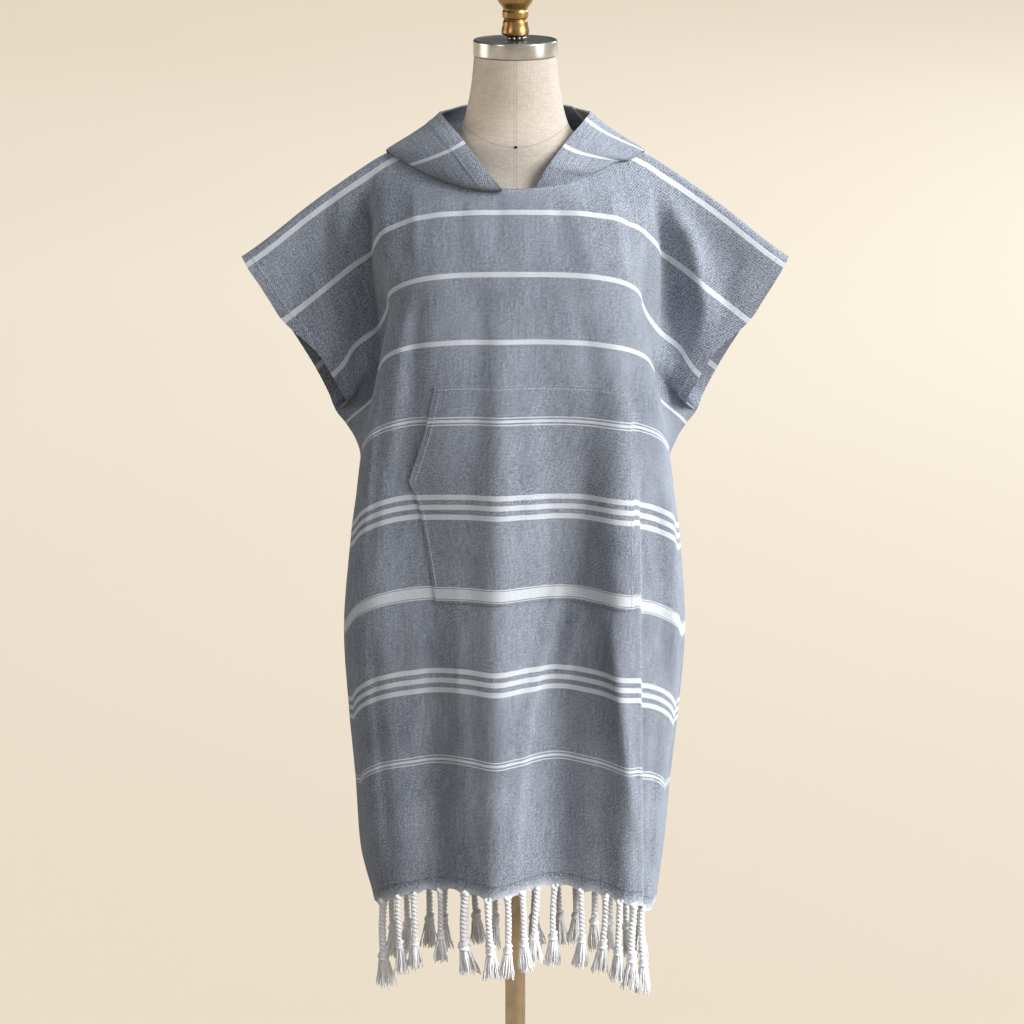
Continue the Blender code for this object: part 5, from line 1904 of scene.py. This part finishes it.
@dataclass(frozen=True)
class DressForm:
    """Limbless torso with a linen cover, a neck cap and a turned knob."""

    levels: Table = Table(
        ("z", "half_width", "front", "back", "power"),
        (
            (0.745, 0.120, -0.075, 0.078, 2.2), (0.750, 0.146, -0.090, 0.093, 2.2),
            (0.765, 0.163, -0.100, 0.102, 2.2), (0.830, 0.166, -0.102, 0.102, 2.2),
            (0.920, 0.148, -0.096, 0.093, 2.2), (1.000, 0.132, -0.090, 0.083, 2.2),
            (1.080, 0.140, -0.096, 0.086, 2.2), (1.150, 0.150, -0.110, 0.096, 2.2),
            (1.200, 0.156, -0.109, 0.101, 2.2), (1.250, 0.164, -0.105, 0.101, 2.2),
            (1.290, 0.168, -0.098, 0.094, 2.1), (1.320, 0.165, -0.091, 0.079, 1.9),
            (1.340, 0.151, -0.081, 0.070, 1.8), (1.355, 0.124, -0.075, 0.062, 1.8),
            (1.370, 0.104, -0.071, 0.055, 1.9), (1.386, 0.083, -0.067, 0.054, 2.0),
            (1.402, 0.067, -0.059, 0.056, 2.0), (1.430, 0.0585, -0.052, 0.056, 2.0),
            (1.460, 0.0535, -0.051, 0.053, 2.0), (1.4895, 0.0508, -0.0508, 0.0508, 2.0),
        ))
    segments: int = 120
    cap_bottom: float = 1.490
    cap_radius: float = 0.052
    cap_height: float = 0.020
    collar_bottom: float = 1.5103
    finial_bottom: float = 1.5156
    ball_count: int = 12
    ball_radius: float = 0.0018
    ball_ring: float = 0.0122
    ball_rise: float = 0.0022
    pin_at: tuple[float, float, float] = (0.0006, -0.0672, 1.3855)
    row_runs: tuple[tuple[float, float, int], ...] = (
        (0.745, 0.78, 14), (0.78, 1.30, 60), (1.30, 1.4895, 60))

    def torso(self, finish: bpy.types.Material) -> bpy.types.Object:
        """Torso and neck: at each level a rounded oval, wider powers being squarer.

        Args:
            finish: its material.

        Returns:
            The piece.
        """
        runs = [np.linspace(*run)[:-1] for run in self.row_runs]
        z = np.concatenate([*runs, [self.row_runs[-1][1]]])
        turn = 2.0 * math.pi * np.arange(self.segments) / self.segments
        size = {name: self.levels.at(name, z)[:, None] for name in self.levels.names[1:]}
        power = 2.0 / size["power"]
        cosine = np.sign(np.cos(turn)) * np.abs(np.cos(turn)) ** power
        sine = np.sign(np.sin(turn)) * np.abs(np.sin(turn)) ** power
        depth = np.where(sine < 0.0, -size["front"], size["back"])
        rings = np.stack([size["half_width"] * cosine, depth * sine,
                          z[:, None] + 0.0 * cosine], axis=-1)
        return add_rings("torso_cover", rings, finish, 40.0)

    def balls(self, finish: bpy.types.Material) -> bpy.types.Object:
        """Small steel balls round the screw under the knob, each an oval of revolution.

        Args:
            finish: its material.

        Returns:
            The piece.
        """
        place = math.radians(22.5) + 2.0 * math.pi * np.arange(
            self.ball_count) / self.ball_count
        tilt = np.linspace(0.0, math.pi, 9)
        path = np.stack([0.0 * tilt, 0.0 * tilt, -self.ball_radius * np.cos(tilt)], axis=-1)
        centre = np.stack([self.ball_ring * np.cos(place), self.ball_ring * np.sin(place),
                           0.0 * place + self.collar_bottom + self.ball_rise], axis=-1)
        paths = centre[:, None] + path[None]
        radii = self.ball_radius * np.sin(tilt) + 0.00002 + 0.0 * paths[..., 0]
        points, faces = tubes(paths, radii, 12, np.array((0.0, 1.0, 0.0)))
        return add_mesh("screw_balls", points, faces, finish)

    def build(self) -> None:
        """Build the torso and everything on its neck."""
        linen = Linen().material()
        steel = Metal("brushed stainless steel", "C9C8C6", "A5A3A1", 0.24, 0.05, 0.8,
                      (0.06, 0.06, 1.0)).material()
        dark = Metal("blackened steel", "3A3632", "201D1A", 0.42).material()
        brass = Metal("aged brass", "B08E5C", "7A5F38", 0.33, 0.08, 6.0,
                      (1.0, 1.0, 1.0)).material()
        carry(self.torso(linen), "form_linen", "form_torso")
        r, h = self.cap_radius, self.cap_height
        cap = rounded(((0.0005, 0.0), (r - 0.0015, 0.0), (r, 0.0012), (r, h - 0.0016),
                       (r - 0.0016, h), (r - 0.0052, h), (r - 0.0060, h - 0.0008),
                       (0.0005, h - 0.0008)), 0.0006)
        carry(turned("neck_cap_turned", cap, self.cap_bottom, steel, 128), "cap_steel",
              "neck_cap")
        collar = rounded(((0.0003, 0.0), (0.0098, 0.0), (0.0098, 0.0016), (0.0086, 0.0022),
                          (0.0086, 0.0034), (0.0105, 0.0040), (0.0105, 0.0050),
                          (0.0003, 0.0050)), 0.0004)
        carry(turned("collar_turned", collar, self.collar_bottom, dark, 64), "dark_metal",
              "finial_collar")
        carry(self.balls(steel), "cap_steel")
        knob = rounded(((0.0003, 0.0), (0.0160, 0.0), (0.0174, 0.0022), (0.0172, 0.0052),
                        (0.0158, 0.0110), (0.0152, 0.0172), (0.0136, 0.0186),
                        (0.0136, 0.0196), (0.0158, 0.0212), (0.0161, 0.0290),
                        (0.0146, 0.0312), (0.0160, 0.0340), (0.0210, 0.0405),
                        (0.0236, 0.0480), (0.0240, 0.0555), (0.0222, 0.0640),
                        (0.0170, 0.0710), (0.0090, 0.0758), (0.0003, 0.0770)), 0.0016, 5)
        carry(turned("finial_turned", knob, self.finial_bottom, brass, 96), "aged_brass",
              "finial")
        pin = rounded(((0.0002, 0.0), (0.0017, 0.0), (0.0019, 0.0006), (0.0011, 0.0016),
                       (0.0002, 0.0018)), 0.0005)
        carry(self.pin(pin, dark), "dark_metal")

    def pin(self, profile: Array, finish: bpy.types.Material) -> bpy.types.Object:
        """The pin where the two seams cross, turned round an axis that points forward.

        Args:
            profile: rows of radius and height.
            finish: its material.

        Returns:
            The piece.
        """
        made = turned("seam_pin", profile, 0.0, finish, 24)
        points = np.array([tuple(point.co) for point in made.data.vertices])
        x, y, z = points.T
        place = np.array(self.pin_at) + np.stack([x, -z, y], axis=-1)
        made.data.vertices.foreach_set("co", place.astype(np.float32).ravel())
        made.data.update()
        return made


@dataclass(frozen=True)
class Stand:
    """Plate under the torso, pole with its socket, and the round base with its hub."""

    base_radius: float = 0.200
    pole_radius: float = 0.0128
    hub_bottom: float = 0.0083
    hub_height: float = 0.030
    plate_bottom: float = 0.7387
    socket_length: float = 0.060

    def build(self) -> None:
        """Build the turned pieces of the stand."""
        satin = Metal("satin bronze lacquer on steel", "B3A28A", "9C8A71", 0.34, 0.05, 1.5,
                      (1.0, 1.0, 0.03)).material()
        cast = Metal("satin bronze lacquer on the base", "AC9A80", "937F66", 0.42, 0.06, 2.5,
                     (1.0, 1.0, 1.0)).material()
        dark = Metal("blackened sheet steel", "3A3632", "26221E", 0.5).material()
        r = self.base_radius
        base = rounded(((0.0005, 0.0), (r - 0.0012, 0.0), (r, 0.0012), (r, 0.0060),
                        (r - 0.0020, 0.0080), (r - 0.010, 0.0080), (0.0005, 0.0080)), 0.0010)
        carry(turned("base_turned", base, 0.0, cast, 128), "stand_bronze", "base_plate")
        hub = rounded(((0.0005, 0.0), (0.0338, 0.0), (0.0338, 0.0058), (0.0250, 0.0090),
                       (0.0192, 0.0140), (0.0188, 0.0262), (0.0180, 0.0290),
                       (0.0160, 0.0300), (0.0005, 0.0300)), 0.0016)
        carry(turned("hub_turned", hub, self.hub_bottom, satin), "stand_bronze", "base_hub")
        socket_bottom = self.plate_bottom - SEAM_GAP - self.socket_length
        pole_bottom = self.hub_bottom + self.hub_height + SEAM_GAP
        length = socket_bottom - SEAM_GAP - pole_bottom
        pole = rounded(((0.0005, 0.0), (self.pole_radius, 0.0), (self.pole_radius, length),
                        (0.0005, length)), 0.0006)
        carry(turned("pole_turned", pole, pole_bottom, satin, 64), "stand_bronze", "pole")
        socket = rounded(((0.0005, 0.0), (0.0168, 0.0), (0.0198, 0.0030), (0.0208, 0.0070),
                          (0.0208, 0.0500), (0.0192, 0.0520), (0.0192, 0.0550),
                          (0.0208, 0.0570), (0.0208, self.socket_length),
                          (0.0005, self.socket_length)), 0.0010)
        carry(turned("socket_turned", socket, socket_bottom, satin), "stand_bronze",
              "pole_socket")
        plate = rounded(((0.0005, 0.0), (0.0612, 0.0), (0.062, 0.0010), (0.062, 0.0050),
                         (0.0610, 0.0060), (0.0005, 0.0060)), 0.0006)
        carry(turned("plate_turned", plate, self.plate_bottom, dark), "dark_metal",
              "form_plate")


# Studio


def mount(data: bpy.types.ID, at: tuple[float, float, float],
          aim: tuple[float, float, float]) -> bpy.types.Object:
    """Stand a camera or a light at a place and turn it to look at another.

    Args:
        data: the camera or the light.
        at: where it stands.
        aim: what it looks at.

    Returns:
        The new object.
    """
    made = bpy.data.objects.new(data.name, data)
    bpy.context.scene.collection.objects.link(made)
    x, y, z = np.asarray(aim, float) - np.asarray(at, float)
    made.location = at
    made.rotation_euler = (math.pi / 2.0 + math.atan2(z, math.hypot(x, y)), 0.0,
                           math.atan2(-x, y))
    return made


@dataclass(frozen=True)
class Softbox:
    """A rectangular light that looks at a point on the object."""

    name: str
    at: tuple[float, float, float]
    size: tuple[float, float]
    watts: float
    colour: str = "FFFFFF"
    aim: tuple[float, float, float] = (0.0, 0.0, 0.95)
    gloss_only: bool = False
    spread: float = 180.0

    def hang(self) -> None:
        """Add the light."""
        data = bpy.data.lights.new(self.name, "AREA")
        data.shape = "RECTANGLE"
        data.size, data.size_y = self.size
        data.energy = self.watts
        data.color = srgb(self.colour)[:3]
        data.spread = math.radians(self.spread)
        mount(data, self.at, self.aim).visible_diffuse = not self.gloss_only


@dataclass(frozen=True)
class Studio:
    """Camera, pale floor and soft lights."""

    target: tuple[float, float, float] = (-0.0041, 0.0, 0.917)
    distance: float = 7.0
    elevation: float = 11.6
    lens: float = 196.9
    floor_half: float = 60.0
    floor_lines: int = 25
    floor_gap: float = 0.0001
    floor_clouds_per_m: float = 0.25
    floor_colours: tuple[str, str] = ("DBCCB4", "E2D5C0")
    key_from: tuple[float, float, float] = (0.82, -0.33, 0.47)
    key_strength: float = 4.2
    key_spread: float = 34.0
    key_distance: float = 5.0
    sky_low: float = 0.07
    sky_high: float = 0.64
    sky_from: float = -0.6
    sky_full: float = 0.95
    sky_tint: tuple[float, float] = (-0.2, 0.3)   # heights of its two colours
    sky_colours: tuple[str, str] = ("FFF0DC", "FAFCFF")
    backdrop: str = "EDE4D4"
    snoot_at: tuple[float, float, float] = (-2.6, -2.8, 2.6)
    snoot_aim: tuple[float, float, float] = (-0.020, -0.03, 1.452)
    snoot_watts: float = 230.0
    snoot_degrees: float = 2.6
    snoot_blend: float = 0.8
    snoot_radius: float = 0.02
    snoot_colour: str = "FFF0DC"
    lights: tuple[Softbox, ...] = (
        Softbox("side_softbox", (3.2, -1.1, 1.9), (1.5, 2.4), 30.0, "FAFCFF",
                gloss_only=True),
        Softbox("left_softbox", (-4.0, 0.4, 1.3), (2.0, 2.4), 5.0, "FFFAF2",
                spread=60.0),
        Softbox("floor_softbox", (7.5, 8.5, 4.5), (3.0, 2.0), 600.0, "D4E6FF",
                (3.0, 5.0, 0.0)),
    )

    def build(self) -> None:
        """Set up the view, the floor and the lights."""
        data = bpy.data.cameras.new("studio_camera")
        data.lens = self.lens
        data.clip_end = 300.0
        lift = math.radians(self.elevation)
        at = (self.target[0], -self.distance * math.cos(lift),
              self.target[2] + self.distance * math.sin(lift))
        bpy.context.scene.camera = mount(data, at, self.target)
        bpy.context.scene.view_settings.view_transform = "Standard"
        for light in self.lights:
            light.hang()
        self.snoot()
        self.key()
        self.sky()
        self.floor()

    def key(self) -> None:
        """A far soft light from the viewer's right that lights floor and cloth evenly."""
        data = bpy.data.lights.new("key_light", "SUN")
        data.energy = self.key_strength
        data.angle = math.radians(self.key_spread)
        at = tuple(self.key_distance * part for part in self.key_from)
        mount(data, at, (0.0, 0.0, 0.0))

    def snoot(self) -> None:
        """A narrow beam from the left that fills the shaded side of the neck alone."""
        data = bpy.data.lights.new("neck_fill", "SPOT")
        data.energy = self.snoot_watts
        data.spot_size = math.radians(self.snoot_degrees)
        data.spot_blend = self.snoot_blend
        data.shadow_soft_size = self.snoot_radius
        data.color = srgb(self.snoot_colour)[:3]
        mount(data, self.snoot_at, self.snoot_aim)

    def sky(self) -> None:
        """Dim light from all round, brighter from the side of the key light and warm from
        below as a pale floor throws it back; the view itself shows a pale backdrop."""
        scene = bpy.context.scene
        world = scene.world or bpy.data.worlds.new("studio")
        scene.world = world
        world.use_nodes = True
        tree = world.node_tree
        way = add_node(tree, "ShaderNodeTexCoord").outputs["Generated"]
        toward = add_node(tree, "ShaderNodeVectorMath", {0: way, 1: self.key_from},
                          operation="DOT_PRODUCT").outputs["Value"]
        glow = ranged(tree, toward, self.sky_from, self.sky_full, self.sky_low,
                      self.sky_high, interpolation_type="SMOOTHSTEP")
        height = add_node(tree, "ShaderNodeSeparateXYZ", {0: way}).outputs[2]
        tint = mix_colour(tree, ranged(tree, height, *self.sky_tint),
                          *(srgb(colour) for colour in self.sky_colours))
        seen = add_node(tree, "ShaderNodeLightPath").outputs["Is Camera Ray"]
        backdrop = tree.nodes["Background"]
        tree.links.new(mix_colour(tree, seen, tint, srgb(self.backdrop)),
                       backdrop.inputs["Color"])
        strength = add_node(tree, "ShaderNodeMix", {0: seen, 2: glow, 3: 1.0}).outputs[0]
        tree.links.new(strength, backdrop.inputs["Strength"])

    def floor(self) -> None:
        """A plain pale floor, a flat grid under the base."""
        step = np.linspace(-self.floor_half, self.floor_half, self.floor_lines)
        x, y = np.meshgrid(step, step)
        points = np.stack([x, y, 0.0 * x - self.floor_gap], axis=-1).reshape(-1, 3)
        made, tree, shader = blank("matt painted studio floor", Roughness=0.95,
                                   Specular_IOR_Level=0.1)
        cloud = grain(tree, object_place(tree), self.floor_clouds_per_m, detail=1.0)
        colour = mix_colour(tree, cloud, *(srgb(colour) for colour in self.floor_colours))
        tree.links.new(colour, shader.inputs["Base Color"])
        quads = grid_quads(self.floor_lines, self.floor_lines).tolist()
        floor = add_mesh("studio_floor", points, quads, made)
        floor.visible_diffuse = False


def main() -> None:
    """Build the studio and every piece."""
    logging.basicConfig(level=logging.INFO, format="%(name)s: %(message)s")
    Studio().build()
    Poncho().build()
    DressForm().build()
    Stand().build()


if __name__ == "__main__":
    main()
